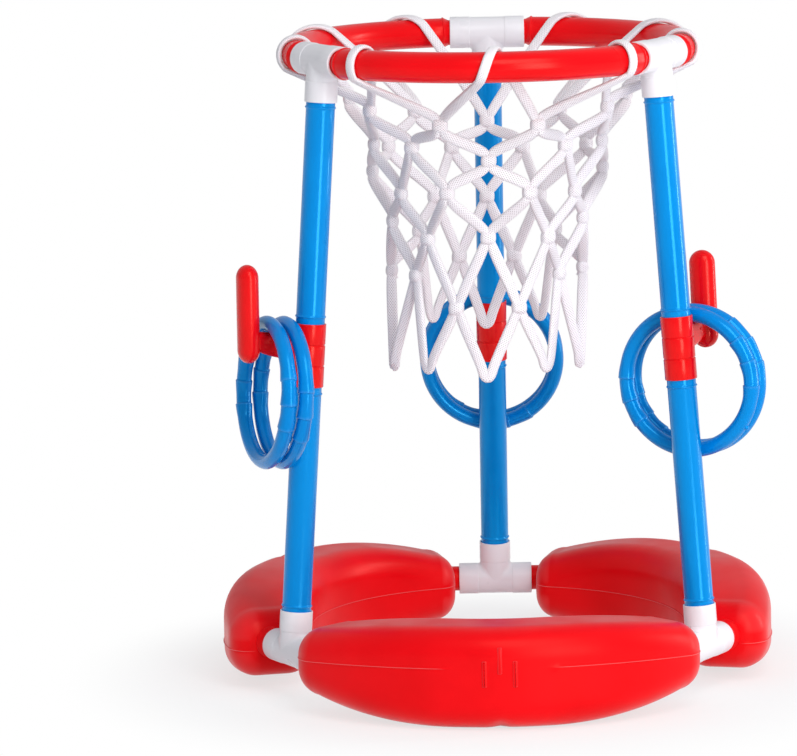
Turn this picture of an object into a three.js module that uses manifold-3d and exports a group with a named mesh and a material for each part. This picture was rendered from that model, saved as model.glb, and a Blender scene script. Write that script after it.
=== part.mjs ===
import * as THREE from 'three';
import { mergeVertices } from 'three/addons/utils/BufferGeometryUtils.js';
import Module from 'manifold-3d';

// A floating basketball hoop for a pool, in millimetres, +Z up, standing on its floats.
// Three floats and three tees make the base ring, three legs lean in to the rim,
// a clip turns on each leg with two toss rings on its arm, and a cord net hangs from the rim.

// Driving sizes of the whole hoop
const BASE_RADIUS = 235;
const RIM_RADIUS = 195;
const RIM_TEE_INSET = 6;
const RISE = 588;
const SIDE_COUNT = 3;
const FIT_GAP = 0.35;
const WELD_TOLERANCE = 0.0005;
const ANGLE_TOLERANCE = 0.01;
const CUT_OVERRUN = 3;

// Leg tubes
const LEG_RADIUS = 14.5;
const LEG_BORE_RADIUS = 12.9;
const LEG_INSERT = 20;
const SPIGOT_WALL = 1.6;
const SPIGOT_LENGTH = 25;
const BEAD_RISE = 1;
const BEAD_LENGTH = 3;
const BEAD_FROM_TEE = 5;
const BEAD_FROM_CLIP = 7;
const LEG_SIDES = 16;

// Tees
const TEE_RADIUS = 15.8;
const COLLAR_RADIUS = 16.3;
const COLLAR_LENGTH = 20;
const TEE_HALF_RUN = 38.5;
const TEE_BRANCH = 41;
const TEE_SIDES = 16;

// Necks of the rim tubes and floats, pushed into the tees
const NECK_RADIUS = 13;
const NECK_INSERT = 18;
const NECK_WALL = 2;
const NECK_SIDES = 12;

// Rim tubes
const RIM_TUBE_RADIUS = 15.1;
const RIM_WALL = 2;
const RIM_CONE_START = 1.5;
const RIM_CONE_LENGTH = 4.5;
const RIM_BEAD_LENGTH = 3;
const RIM_STEPS = 6;
const RIM_BEND_STEPS = 2;
const RIM_SIDES = 12;
const RIM_BORE_SIDES = 6;

// Floats: full height over the middle, lower towards the ends on the recess side and the plain side
const FLOAT_WIDTH = 88;
const FLOAT_HEIGHT = 100;
const FLOAT_RECESS_END = 31;
const FLOAT_PLAIN_END = 38;
const FLOAT_LEVEL_SHARE = 0.25;
const FLOAT_EDGE_RADIUS = 28;
const FLOAT_END_RADIUS = 24;
const FLOAT_WALL = 2.2;
const FLOAT_END_GAP = 9;
const FLOAT_STEPS = 8;
const FLOAT_END_STEPS = 3;
const FLOAT_CORNER_STEPS = 4;
const FLOAT_INNER_CORNER_STEPS = 2;
const RECESS_RADIUS = 12.5;
const RECESS_DEPTH = 12;
const RECESS_OFFSET = 8;
const PLUG_HEAD_RADIUS = 10;
const PLUG_HEAD_HEIGHT = 4;
const PLUG_STEM_RADIUS = 5;
const PLUG_STEM_LENGTH = 9;
const PLUG_SIDES = 12;
const GRIP_RIB_WIDTH = 4.5;
const GRIP_RIB_HEIGHT = 26;
const GRIP_RIB_RISE = 1.2;
const GRIP_RIB_PITCH = 15;
const GRIP_RIB_DROP = 8;
const GRIP_RIB_STAGGER = 13;

// Hook clips
const CLIP_LENGTH = 63;
const CLIP_WALL = 1.2;
const GROOVE_DEPTH = 0.4;
const GROOVE_WIDTH = 1.2;
const ARM_THICKNESS = 11;
const ARM_BEVEL = 5;
const ARM_TOP = 22.5;
const ARM_DEPTH = 20;
const ARM_ROOT_DEPTH = 27;
const PEG_DISTANCE = 64;
const PEG_HEIGHT = 98;
const PEG_ACROSS = 27;
const PEG_ALONG = 22;
const PEG_BELOW = 9;
const PEG_LEAN_DEG = 4;
const PEG_SIDES = 14;

// Toss rings, two on each arm
const RING_RADIUS = 68.5;
const RING_TUBE_RADIUS = 7.5;
const RING_GAP = 0.5;
const RING_BAND_RISE = 1;
const RING_BAND_WIDTH = 3;
const RING_FROM_LEG = 25;
const RING_PITCH = 17.6;
const RING_SIDES = 8;
const RING_PLAIN_STEPS = 7;
const RING_BAND_DEG = 20;
const RING_BAND_COUNT = 3;
const RING_GROUP_COUNT = 2;

// Cord net
const CORD_WIDTH = 10.5;
const CORD_THICKNESS = 4.4;
const KNOT_HEIGHT = 8;
const KNOT_RISE = 1.4;
const MESH_COUNT = 9;
const LOOP_AZIMUTHS_DEG = [-151.5, -112, -80, -39.5, 0, 41, 80, 112, 151.5];
// How far along the rim each loop leans from its middle to either end
const LOOP_LEANS = [25, 30, 10, 0, 10, 0, 10, 30, 25];
const LOOP_GAP = 0.9;
const LOOP_WIND_FROM_DEG = -52;
const LOOP_WIND_TO_DEG = 146;
const LOOP_STEPS = 6;
const LEAN_SHARE = 0.02;
// Each row of knots from the rim down, its knots in the order of how far round they are from the front:
// depth below the rim and distance from the middle. Rows one, three and five sit half a mesh round.
const KNOT_DEPTHS = [
  [62.7, 53, 50, 71, 86],
  [99.4, 88, 92, 103.5, 110],
  [132, 138.5, 123, 156, 160.5],
  [179, 182, 170, 188, 220],
  [250, 222.5, 224.5],
];
const KNOT_RADII = [
  [140, 136, 142, 115, 128],
  [118, 118, 116, 116, 106],
  [119, 100, 118, 83, 92],
  [93, 93, 97, 80, 82],
  [91, 83, 98],
];
const POINT_DEPTHS = [318.4, 312, 316.5];
const POINT_RADII = [90, 92, 95];
const BACK_POINT_DEPTHS = [280, 290, 280];
const BACK_POINT_RADIUS = 85;
// How flat each row's knots are: the share of the cord's width that runs sideways
const KNOT_FLAT_SHARES = [0.62, 0.66, 0.7, 0.85, 0.93, 0.93];

// Each leg: the share of its length at which its tubes join under the clip, which way the clip points,
// as an azimuth, and how each of its two rings is turned
const SIDES = [
  { name: 'back', azimuth: 90, clipShare: 0.461, hook: 90, ringTurns: [14, -22] },
  { name: 'left', azimuth: 210, clipShare: 0.505, hook: 201, ringTurns: [-12, 8] },
  { name: 'right', azimuth: 330, clipShare: 0.507, hook: 422, ringTurns: [23, 18] },
];

const FULL_TURN = 2 * Math.PI;
const radians = THREE.MathUtils.degToRad;

// Worked-out sizes
const RIM_TEE_RADIUS = RIM_RADIUS - RIM_TEE_INSET;
const SPLAY = Math.atan2(BASE_RADIUS - RIM_TEE_RADIUS, RISE);
const LEG_SPAN = Math.hypot(BASE_RADIUS - RIM_TEE_RADIUS, RISE);
const LEG_START = TEE_BRANCH - LEG_INSERT;
const CLIP_BORE_RADIUS = LEG_RADIUS + FIT_GAP;
const CLIP_RADIUS = CLIP_BORE_RADIUS + CLIP_WALL;
const ARM_AXIS = ARM_TOP - ARM_THICKNESS / 2;
const FLOAT_END = TEE_HALF_RUN + FLOAT_END_GAP;
const FLOAT_HALF_ANGLE = Math.PI / SIDE_COUNT - Math.asin(FLOAT_END / BASE_RADIUS);
const BEND_RADIUS = (RIM_RADIUS ** 2 - TEE_HALF_RUN ** 2 - RIM_TEE_RADIUS ** 2)
  / (2 * (RIM_RADIUS - RIM_TEE_RADIUS));
const BEND_ANGLE = Math.atan2(TEE_HALF_RUN, RIM_TEE_RADIUS - BEND_RADIUS);

const wasm = await Module();
wasm.setup();

const RED = new THREE.MeshStandardMaterial({ color: 0xe60a19, roughness: 0.28, metalness: 0 });
const BLUE = new THREE.MeshStandardMaterial({ color: 0x008ce4, roughness: 0.28, metalness: 0 });
const WHITE = new THREE.MeshStandardMaterial({ color: 0xe6e2e6, roughness: 0.3, metalness: 0 });
const CORD = new THREE.MeshStandardMaterial({ color: 0xebe1e6, roughness: 0.9, metalness: 0 });

// A closed three.js geometry as a solid that can be joined and cut
function solid(geometry) {
  const bare = geometry.index ? geometry.toNonIndexed() : geometry.clone();
  bare.deleteAttribute('normal');
  bare.deleteAttribute('uv');
  const welded = mergeVertices(bare, WELD_TOLERANCE);
  const mesh = new wasm.Mesh({
    numProp: 3,
    vertProperties: new Float32Array(welded.attributes.position.array),
    triVerts: new Uint32Array(welded.index.array),
  });
  return new wasm.Manifold(mesh);
}

function shape(manifold) {
  const mesh = manifold.getMesh();
  const geometry = new THREE.BufferGeometry();
  geometry.setAttribute('position', new THREE.BufferAttribute(mesh.vertProperties, 3));
  geometry.setIndex(new THREE.BufferAttribute(mesh.triVerts, 1));
  geometry.computeVertexNormals();
  return geometry;
}

// A turned solid about +Z from [radius, height] pairs, its outside given from the top down;
// the profile starts and ends on the axis, or closes on itself
function turned(profile, sides) {
  const points = profile.map(([radius, height]) => new THREE.Vector2(radius, height));
  return new THREE.LatheGeometry(points.reverse(), sides).rotateX(Math.PI / 2);
}

function rod(radius, from, to, sides) {
  return turned([[0, to], [radius, to], [radius, from], [0, from]], sides);
}

// A closed skin over a row of rings, each a list of points with the same count: joined end to end
// as a loop, or closed at both ends by fans
function skin(rings, isLoop) {
  const positions = rings.flat().flatMap((point) => point.toArray());
  const count = rings[0].length;
  const indices = [];
  const spans = isLoop ? rings.length : rings.length - 1;
  for (let r = 0; r < spans; r += 1) {
    const next = (r + 1) % rings.length;
    for (let k = 0; k < count; k += 1) {
      const a = r * count + k;
      const b = r * count + (k + 1) % count;
      const c = next * count + (k + 1) % count;
      const d = next * count + k;
      indices.push(a, b, c, a, c, d);
    }
  }
  if (!isLoop) {
    const last = (rings.length - 1) * count;
    for (let k = 1; k < count - 1; k += 1) {
      indices.push(0, k + 1, k);
      indices.push(last, last + k, last + k + 1);
    }
  }
  const geometry = new THREE.BufferGeometry();
  geometry.setAttribute('position', new THREE.Float32BufferAttribute(positions, 3));
  geometry.setIndex(indices);
  geometry.computeVertexNormals();
  return geometry;
}

// A small ring moulded round a tube, as profile points between two heights
function bead(radius, centre) {
  return [
    [radius, centre + BEAD_LENGTH / 2],
    [radius + BEAD_RISE, centre],
    [radius, centre - BEAD_LENGTH / 2],
  ];
}

// The lower tube runs from the base tee to mid-height, where a reduced end enters the upper tube
function legLower(top) {
  const spigotRadius = LEG_BORE_RADIUS - FIT_GAP;
  const spigotBore = spigotRadius - SPIGOT_WALL;
  return turned([
    [spigotBore, top + SPIGOT_LENGTH],
    [spigotRadius, top + SPIGOT_LENGTH],
    [spigotRadius, top],
    [LEG_RADIUS, top],
    ...bead(LEG_RADIUS, top - CLIP_LENGTH / 2 - BEAD_FROM_CLIP),
    ...bead(LEG_RADIUS, TEE_BRANCH + BEAD_FROM_TEE),
    [LEG_RADIUS, LEG_START],
    [LEG_BORE_RADIUS, LEG_START],
    [LEG_BORE_RADIUS, top - BEAD_LENGTH],
    [spigotBore, top - BEAD_LENGTH],
    [spigotBore, top + SPIGOT_LENGTH],
  ], LEG_SIDES);
}

function legUpper(joinedAt) {
  const top = LEG_SPAN - LEG_START;
  const bottom = joinedAt + FIT_GAP;
  return turned([
    [LEG_BORE_RADIUS, top],
    [LEG_RADIUS, top],
    ...bead(LEG_RADIUS, LEG_SPAN - TEE_BRANCH - BEAD_FROM_TEE),
    ...bead(LEG_RADIUS, joinedAt + CLIP_LENGTH / 2 + BEAD_FROM_CLIP),
    [LEG_RADIUS, bottom],
    [LEG_BORE_RADIUS, bottom],
    [LEG_BORE_RADIUS, top],
  ], LEG_SIDES);
}

// One tee: a run along Y with a collar at each end, a branch along +Z, bored through for necks and leg
function tee() {
  const run = turned([
    [0, TEE_HALF_RUN],
    [COLLAR_RADIUS, TEE_HALF_RUN],
    [COLLAR_RADIUS, TEE_HALF_RUN - COLLAR_LENGTH],
    [TEE_RADIUS, TEE_HALF_RUN - COLLAR_LENGTH],
    [TEE_RADIUS, COLLAR_LENGTH - TEE_HALF_RUN],
    [COLLAR_RADIUS, COLLAR_LENGTH - TEE_HALF_RUN],
    [COLLAR_RADIUS, -TEE_HALF_RUN],
    [0, -TEE_HALF_RUN],
  ], TEE_SIDES).rotateX(Math.PI / 2);
  const branch = turned([
    [0, TEE_BRANCH],
    [COLLAR_RADIUS, TEE_BRANCH],
    [COLLAR_RADIUS, TEE_BRANCH - COLLAR_LENGTH],
    [TEE_RADIUS, TEE_BRANCH - COLLAR_LENGTH],
    [TEE_RADIUS, 0],
    [0, 0],
  ], TEE_SIDES);
  const overrun = TEE_HALF_RUN + CUT_OVERRUN;
  const runBore = rod(NECK_RADIUS + FIT_GAP, -overrun, overrun, TEE_SIDES).rotateX(Math.PI / 2);
  const legBore = rod(LEG_RADIUS + FIT_GAP, LEG_START - FIT_GAP, TEE_BRANCH + CUT_OVERRUN, TEE_SIDES);
  const throat = rod(NECK_RADIUS, 0, LEG_START, TEE_SIDES);
  return shape(solid(run).add(solid(branch)).subtract(solid(runBore))
    .subtract(solid(legBore)).subtract(solid(throat)));
}

// Centre line of half a rim tube: straight in the tee, a short bend, then the rim's own circle.
// The tee it starts from is on +X; the turn is the angle of the line's outward side.
function rimLine(distance) {
  const bendLength = BEND_RADIUS * BEND_ANGLE;
  if (distance <= TEE_HALF_RUN) {
    return { x: RIM_TEE_RADIUS, y: distance, turn: 0 };
  }
  if (distance <= TEE_HALF_RUN + bendLength) {
    const turn = (distance - TEE_HALF_RUN) / BEND_RADIUS;
    const x = RIM_TEE_RADIUS - BEND_RADIUS + BEND_RADIUS * Math.cos(turn);
    return { x, y: TEE_HALF_RUN + BEND_RADIUS * Math.sin(turn), turn };
  }
  const turn = BEND_ANGLE + (distance - TEE_HALF_RUN - bendLength) / RIM_RADIUS;
  return { x: RIM_RADIUS * Math.cos(turn), y: RIM_RADIUS * Math.sin(turn), turn };
}

function circleAcross({ x, y, turn }, radius, sides) {
  const outward = new THREE.Vector3(Math.cos(turn), Math.sin(turn), 0);
  const centre = new THREE.Vector3(x, y, 0);
  return Array.from({ length: sides }, (_, k) => {
    const angle = -FULL_TURN * k / sides;
    const point = centre.clone().addScaledVector(outward, radius * Math.cos(angle));
    point.z += radius * Math.sin(angle);
    return point;
  });
}

// The same line seen from the tube's other end
function mirrored({ x, y, turn }) {
  const radius = Math.hypot(x, y);
  const angle = FULL_TURN / SIDE_COUNT - Math.atan2(y, x);
  return { x: radius * Math.cos(angle), y: radius * Math.sin(angle), turn: FULL_TURN / SIDE_COUNT - turn };
}

// Rings along a whole rim tube from [distance, radius] pairs given for its first half
function rimRings(half, sides) {
  const first = half.map(([distance, radius]) => circleAcross(rimLine(distance), radius, sides));
  const second = half.map(([distance, radius]) => circleAcross(mirrored(rimLine(distance)), radius, sides));
  return [...first, ...second.reverse()];
}

function rimTube() {
  const bendLength = BEND_RADIUS * BEND_ANGLE;
  const bendEnd = TEE_HALF_RUN + bendLength;
  const arcLength = (Math.PI / SIDE_COUNT - BEND_ANGLE) * RIM_RADIUS;
  const coneStart = TEE_HALF_RUN + RIM_CONE_START;
  const coneEnd = coneStart + RIM_CONE_LENGTH;
  const beadCentre = coneEnd + RIM_BEAD_LENGTH / 2;
  const beadEnd = coneEnd + RIM_BEAD_LENGTH;
  const arcSteps = Array.from({ length: RIM_STEPS }, (_, k) => [
    bendEnd + arcLength * (k + 1 / 2) / RIM_STEPS,
    RIM_TUBE_RADIUS,
  ]);
  const outer = [
    [TEE_HALF_RUN - NECK_INSERT, NECK_RADIUS],
    [coneStart, NECK_RADIUS],
    [coneEnd, RIM_TUBE_RADIUS],
    [beadCentre, RIM_TUBE_RADIUS + BEAD_RISE],
    [beadEnd, RIM_TUBE_RADIUS],
    ...arcSteps,
  ];
  const bendSteps = Array.from({ length: RIM_BEND_STEPS }, (_, k) => [
    TEE_HALF_RUN + bendLength * (k + 1) / RIM_BEND_STEPS,
    NECK_RADIUS - RIM_WALL,
  ]);
  const inner = [
    [TEE_HALF_RUN - NECK_INSERT - CUT_OVERRUN, NECK_RADIUS - RIM_WALL],
    [TEE_HALF_RUN, NECK_RADIUS - RIM_WALL],
    ...bendSteps,
    ...arcSteps.map(([distance]) => [distance, RIM_TUBE_RADIUS - RIM_WALL]),
  ];
  const tube = solid(skin(rimRings(outer, RIM_SIDES), false));
  return shape(tube.subtract(solid(skin(rimRings(inner, RIM_BORE_SIDES), false))));
}

// How much of the full height a float has at an angle from its middle: level there, then falling away
function floatCrown(angle, straight) {
  const share = Math.min(Math.abs(angle) / straight, 1);
  const beyond = Math.max(share - FLOAT_LEVEL_SHARE, 0) / (1 - FLOAT_LEVEL_SHARE);
  return 1 - beyond ** 2;
}

// The rounded-box outline of a float across its length, drawn in by an inset
function floatOutline(inset, cornerSteps, crown) {
  const halfWidth = FLOAT_WIDTH / 2 - inset;
  const heightFrom = (end) => end + (FLOAT_HEIGHT / 2 - end) * crown - inset;
  const edge = Math.max(FLOAT_EDGE_RADIUS - inset, FLOAT_WALL);
  const corners = [[1, 1], [1, -1], [-1, -1], [-1, 1]];
  return corners.flatMap(([right, up], corner) => Array.from({ length: cornerSteps + 1 }, (_, k) => {
    const angle = Math.PI / 2 - (corner + k / cornerSteps) * Math.PI / 2;
    const height = heightFrom(up > 0 ? FLOAT_RECESS_END : FLOAT_PLAIN_END);
    return {
      across: right * (halfWidth - edge) + edge * Math.cos(angle),
      up: up * (height - edge) + edge * Math.sin(angle),
    };
  }));
}

// A float's skin, its middle on +X and its recess side up, every wall drawn in by the inset
function floatSkin(inset, cornerSteps) {
  const endRadius = FLOAT_END_RADIUS - inset;
  const endAngle = FLOAT_HALF_ANGLE - inset / BASE_RADIUS;
  const stations = [];
  for (let k = 0; k < FLOAT_END_STEPS; k += 1) {
    const turn = (Math.PI / 2) * k / FLOAT_END_STEPS;
    const along = endRadius * (1 - Math.cos(turn));
    stations.push([endAngle - along / BASE_RADIUS, inset + endRadius * (1 - Math.sin(turn))]);
  }
  const straight = endAngle - endRadius / BASE_RADIUS;
  for (let k = 0; k <= FLOAT_STEPS / 2; k += 1) {
    stations.push([straight * (1 - 2 * k / FLOAT_STEPS), inset]);
  }
  const otherHalf = stations.slice(0, -1).map(([angle, drawn]) => [-angle, drawn]);
  const rings = [...stations, ...otherHalf.reverse()].map(([angle, drawn]) => (
    floatOutline(drawn, cornerSteps, floatCrown(angle, straight)).map(({ across, up }) => {
      const radius = BASE_RADIUS + across;
      return new THREE.Vector3(radius * Math.cos(angle), radius * Math.sin(angle), up);
    })));
  return skin(rings.reverse(), false);
}

// The two necks, in line with the runs of the tees at the float's ends
function floatNecks(radius, from, to) {
  const necks = [];
  for (const end of [-1, 1]) {
    const neck = rod(radius, from, to, NECK_SIDES).rotateX(end * Math.PI / 2);
    neck.translate(BASE_RADIUS, 0, 0);
    necks.push(solid(neck.rotateZ(end * Math.PI / SIDE_COUNT)));
  }
  return necks[0].add(necks[1]);
}

// Three upright ribs moulded on the outer face, nearer its plain side, the middle one nearest
function gripRibs() {
  const face = BASE_RADIUS + FLOAT_WIDTH / 2;
  const depth = FLOAT_WALL + GRIP_RIB_RISE;
  const ribs = [-1, 0, 1].map((place) => {
    const rib = new THREE.BoxGeometry(depth, GRIP_RIB_WIDTH, GRIP_RIB_HEIGHT);
    const up = place === 0 ? -GRIP_RIB_DROP - GRIP_RIB_STAGGER : -GRIP_RIB_DROP;
    rib.translate(face - FLOAT_WALL + depth / 2, 0, up);
    return solid(rib.rotateZ(place * GRIP_RIB_PITCH / face));
  });
  return ribs[0].add(ribs[1]).add(ribs[2]);
}

// A float is a hollow shell whose only opening is the filler bore in the floor of its round recess
function float() {
  const recessAt = BASE_RADIUS + RECESS_OFFSET;
  const top = FLOAT_HEIGHT / 2;
  const floor = top - RECESS_DEPTH;
  const upright = (radius, from, to, sides) => (
    solid(rod(radius, from, to, sides).translate(recessAt, 0, 0))
  );
  const neckEnd = TEE_HALF_RUN - NECK_INSERT;
  const neckDepth = FLOAT_END + FLOAT_END_RADIUS;
  const outer = solid(floatSkin(0, FLOAT_CORNER_STEPS)).add(floatNecks(NECK_RADIUS, neckEnd, neckDepth));
  const inner = solid(floatSkin(FLOAT_WALL, FLOAT_INNER_CORNER_STEPS))
    .add(floatNecks(NECK_RADIUS - NECK_WALL, neckEnd + NECK_WALL, neckDepth));
  const cup = upright(RECESS_RADIUS + FLOAT_WALL, floor - FLOAT_WALL, top - FLOAT_WALL, PLUG_SIDES);
  const pocket = upright(RECESS_RADIUS, floor, top + CUT_OVERRUN, PLUG_SIDES);
  const bore = upright(PLUG_STEM_RADIUS + FIT_GAP, 0, top, PLUG_SIDES);
  return shape(outer.subtract(inner).add(cup).add(gripRibs()).subtract(pocket).subtract(bore));
}

function floatPlug() {
  const seat = FLOAT_HEIGHT / 2 - RECESS_DEPTH + FIT_GAP;
  const plug = turned([
    [0, seat + PLUG_HEAD_HEIGHT],
    [PLUG_HEAD_RADIUS, seat + PLUG_HEAD_HEIGHT],
    [PLUG_HEAD_RADIUS, seat],
    [PLUG_STEM_RADIUS, seat],
    [PLUG_STEM_RADIUS, seat - PLUG_STEM_LENGTH],
    [0, seat - PLUG_STEM_LENGTH],
  ], PLUG_SIDES);
  return plug.translate(BASE_RADIUS + RECESS_OFFSET, 0, 0);
}

function groove(centre) {
  return [
    [CLIP_RADIUS, centre + GROOVE_WIDTH / 2],
    [CLIP_RADIUS - GROOVE_DEPTH, centre],
    [CLIP_RADIUS, centre - GROOVE_WIDTH / 2],
  ];
}

// The side view of a clip's arm, from inside the sleeve out to the peg, drawn in by its round edge
function armProfile() {
  const drawnIn = ARM_BEVEL;
  const top = ARM_TOP - drawnIn;
  const bottom = ARM_TOP - ARM_DEPTH + drawnIn;
  const rootBottom = ARM_TOP - ARM_ROOT_DEPTH + drawnIn;
  const outline = new THREE.Shape();
  outline.moveTo(CLIP_RADIUS, rootBottom);
  outline.quadraticCurveTo(PEG_DISTANCE / 2, rootBottom, PEG_DISTANCE - PEG_ALONG / 2, bottom);
  outline.lineTo(PEG_DISTANCE, bottom);
  outline.lineTo(PEG_DISTANCE, top);
  outline.lineTo(CLIP_RADIUS, top);
  return outline;
}

// A clip: a grooved sleeve on the leg, an arm along +X and an upright peg at its end
function hookClip() {
  const half = CLIP_LENGTH / 2;
  const sleeve = turned([
    [0, half],
    [CLIP_RADIUS, half],
    ...groove(CLIP_LENGTH / 6),
    ...groove(-CLIP_LENGTH / 6),
    [CLIP_RADIUS, -half],
    [0, -half],
  ], TEE_SIDES);
  const arm = new THREE.ExtrudeGeometry(armProfile(), {
    depth: ARM_THICKNESS - 2 * ARM_BEVEL,
    bevelThickness: ARM_BEVEL,
    bevelSize: ARM_BEVEL,
    bevelSegments: 2,
    curveSegments: 3,
  });
  arm.translate(0, 0, ARM_BEVEL - ARM_THICKNESS / 2).rotateX(Math.PI / 2);
  const peg = new THREE.CapsuleGeometry(PEG_ACROSS / 2, PEG_HEIGHT - PEG_ACROSS, 4, PEG_SIDES);
  peg.rotateX(Math.PI / 2).scale(PEG_ALONG / PEG_ACROSS, 1, 1);
  peg.translate(0, 0, PEG_HEIGHT / 2 - PEG_BELOW - ARM_AXIS).rotateY(radians(PEG_LEAN_DEG));
  peg.translate(PEG_DISTANCE, 0, ARM_AXIS);
  const bore = rod(CLIP_BORE_RADIUS, -half - CUT_OVERRUN, half + CUT_OVERRUN, TEE_SIDES);
  return shape(solid(sleeve).add(solid(arm)).add(solid(peg)).subtract(solid(bore)));
}

// Angles round a ring and how far its tube stands out there: groups of raised bands, plain between
function ringStations() {
  const bandHalf = RING_BAND_WIDTH / 2 / RING_RADIUS;
  const stations = [];
  for (let group = 0; group < RING_GROUP_COUNT; group += 1) {
    const middle = FULL_TURN * group / RING_GROUP_COUNT;
    for (let band = 0; band < RING_BAND_COUNT; band += 1) {
      const angle = middle + radians(RING_BAND_DEG) * (band - (RING_BAND_COUNT - 1) / 2);
      stations.push([angle - bandHalf, 0], [angle, RING_BAND_RISE], [angle + bandHalf, 0]);
    }
    const groupHalf = radians(RING_BAND_DEG) * (RING_BAND_COUNT - 1) / 2 + bandHalf;
    const plain = FULL_TURN / RING_GROUP_COUNT - 2 * groupHalf;
    for (let k = 1; k < RING_PLAIN_STEPS; k += 1) {
      stations.push([middle + groupHalf + plain * k / RING_PLAIN_STEPS, 0]);
    }
  }
  return stations;
}

// A toss ring hanging in the YZ plane from the round top edge of an arm that runs along X at the origin
function tossRing(turnDeg) {
  const drop = RING_RADIUS - RING_TUBE_RADIUS - RING_GAP - ARM_THICKNESS / 2;
  const rings = ringStations().map(([angle, rise]) => (
    Array.from({ length: RING_SIDES }, (_, k) => {
      const across = -FULL_TURN * (k + 1 / 2) / RING_SIDES;
      const radius = RING_RADIUS + (RING_TUBE_RADIUS + rise) * Math.cos(across);
      const side = (RING_TUBE_RADIUS + rise) * Math.sin(across);
      return new THREE.Vector3(side, radius * Math.cos(angle), radius * Math.sin(angle));
    })));
  const ring = skin(rings, true);
  return ring.rotateX(radians(turnDeg)).translate(0, 0, -drop);
}

// A place on the net: azimuth in degrees from the front, towards +X, then its distance from the middle
// and its depth below the rim
function netPoint(azimuthDeg, radius, depth) {
  const azimuth = radians(azimuthDeg);
  return new THREE.Vector3(
    radius * Math.sin(azimuth) - LEAN_SHARE * depth,
    -radius * Math.cos(azimuth),
    RISE - depth,
  );
}

// Corner points of a knot, going round from the top: the cords leave by the four slanted edges
function knotCorners({ azimuth, radius, depth, flatShare, isPoint }) {
  const width = CORD_WIDTH * flatShare;
  const height = CORD_WIDTH * Math.sqrt(1 - flatShare ** 2);
  const straight = isPoint ? 0 : KNOT_HEIGHT / 2;
  const corners = [
    [0, straight + height],
    [width, straight],
    [width, -straight],
    [0, -straight - height],
    [-width, -straight],
    [-width, straight],
  ];
  const rise = isPoint ? 0 : KNOT_RISE;
  const place = (side, [across, up]) => {
    const turn = THREE.MathUtils.radToDeg(across / radius);
    return netPoint(azimuth + turn, radius + side * CORD_THICKNESS / 2, depth - up);
  };
  return {
    outer: corners.map((corner) => place(1, corner)),
    inner: corners.map((corner) => place(-1, corner)),
    outerMiddle: netPoint(azimuth, radius + CORD_THICKNESS / 2 + rise, depth),
    innerMiddle: netPoint(azimuth, radius - CORD_THICKNESS / 2 - rise, depth),
  };
}

// The edges of a knot in the order of its corners; the cords leave by the four slanted ones
const KNOT_EDGES = ['upRight', 'right', 'downRight', 'downLeft', 'left', 'upLeft'];

// Numbers of the two corners at the ends of an edge
function edgeCorners(edge) {
  const first = KNOT_EDGES.indexOf(edge);
  return [first, (first + 1) % KNOT_EDGES.length];
}

// Collects the net's triangles as corner points; equal points are merged at the end
class NetSurface {
  constructor() {
    this.positions = [];
  }

  // A triangle with two equal corners, as at a knot without straight sides, is left out
  triangle(a, b, c) {
    if (!a.equals(b) && !b.equals(c) && !c.equals(a)) {
      this.positions.push(...a.toArray(), ...b.toArray(), ...c.toArray());
    }
  }

  quad(a, b, c, d) {
    this.triangle(a, b, c);
    this.triangle(a, c, d);
  }

  // A knot's two faces and the side walls that no cord covers
  knot(corners, usedEdges) {
    const { outer, inner } = corners;
    const count = outer.length;
    for (let k = 0; k < count; k += 1) {
      const next = (k + 1) % count;
      this.triangle(corners.outerMiddle, outer[next], outer[k]);
      this.triangle(corners.innerMiddle, inner[k], inner[next]);
      if (!usedEdges.includes(KNOT_EDGES[k])) {
        this.quad(outer[k], outer[next], inner[next], inner[k]);
      }
    }
  }

  // A cord between cross-sections of four points each: outer pair, then inner pair
  cord(sections) {
    for (let s = 0; s < sections.length - 1; s += 1) {
      const from = sections[s];
      const to = sections[s + 1];
      for (let k = 0; k < 4; k += 1) {
        const next = (k + 1) % 4;
        this.quad(from[k], from[next], to[next], to[k]);
      }
    }
  }

  geometry() {
    const geometry = new THREE.BufferGeometry();
    geometry.setAttribute('position', new THREE.Float32BufferAttribute(this.positions, 3));
    return mergeVertices(geometry, WELD_TOLERANCE);
  }
}

// The cross-section of a cord where it leaves a knot by an edge, seen as it leaves
function leaving(corners, edge) {
  const [a, b] = edgeCorners(edge);
  return [corners.outer[a], corners.outer[b], corners.inner[b], corners.inner[a]];
}

// The same edge seen by a cord that arrives there
function arriving(corners, edge) {
  const [a, b] = edgeCorners(edge);
  return [corners.outer[b], corners.outer[a], corners.inner[a], corners.inner[b]];
}

// And seen by a loop that comes down inside the rim, with the cord's outer face now turned inward
function arrivingOver(corners, edge) {
  const [a, b] = edgeCorners(edge);
  return [corners.inner[a], corners.inner[b], corners.outer[b], corners.outer[a]];
}

// How far the rim's centre line is from the axis at an azimuth from the front, clear of the tees
function rimRadiusAt(azimuthDeg) {
  const pitch = 360 / SIDE_COUNT;
  const fromTee = Math.abs(((azimuthDeg + 360) % pitch) - pitch / 2);
  const offset = Math.max(BEND_ANGLE - radians(fromTee), 0);
  const centre = RIM_RADIUS - BEND_RADIUS;
  return centre * Math.cos(offset) + Math.sqrt(BEND_RADIUS ** 2 - (centre * Math.sin(offset)) ** 2);
}

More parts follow.
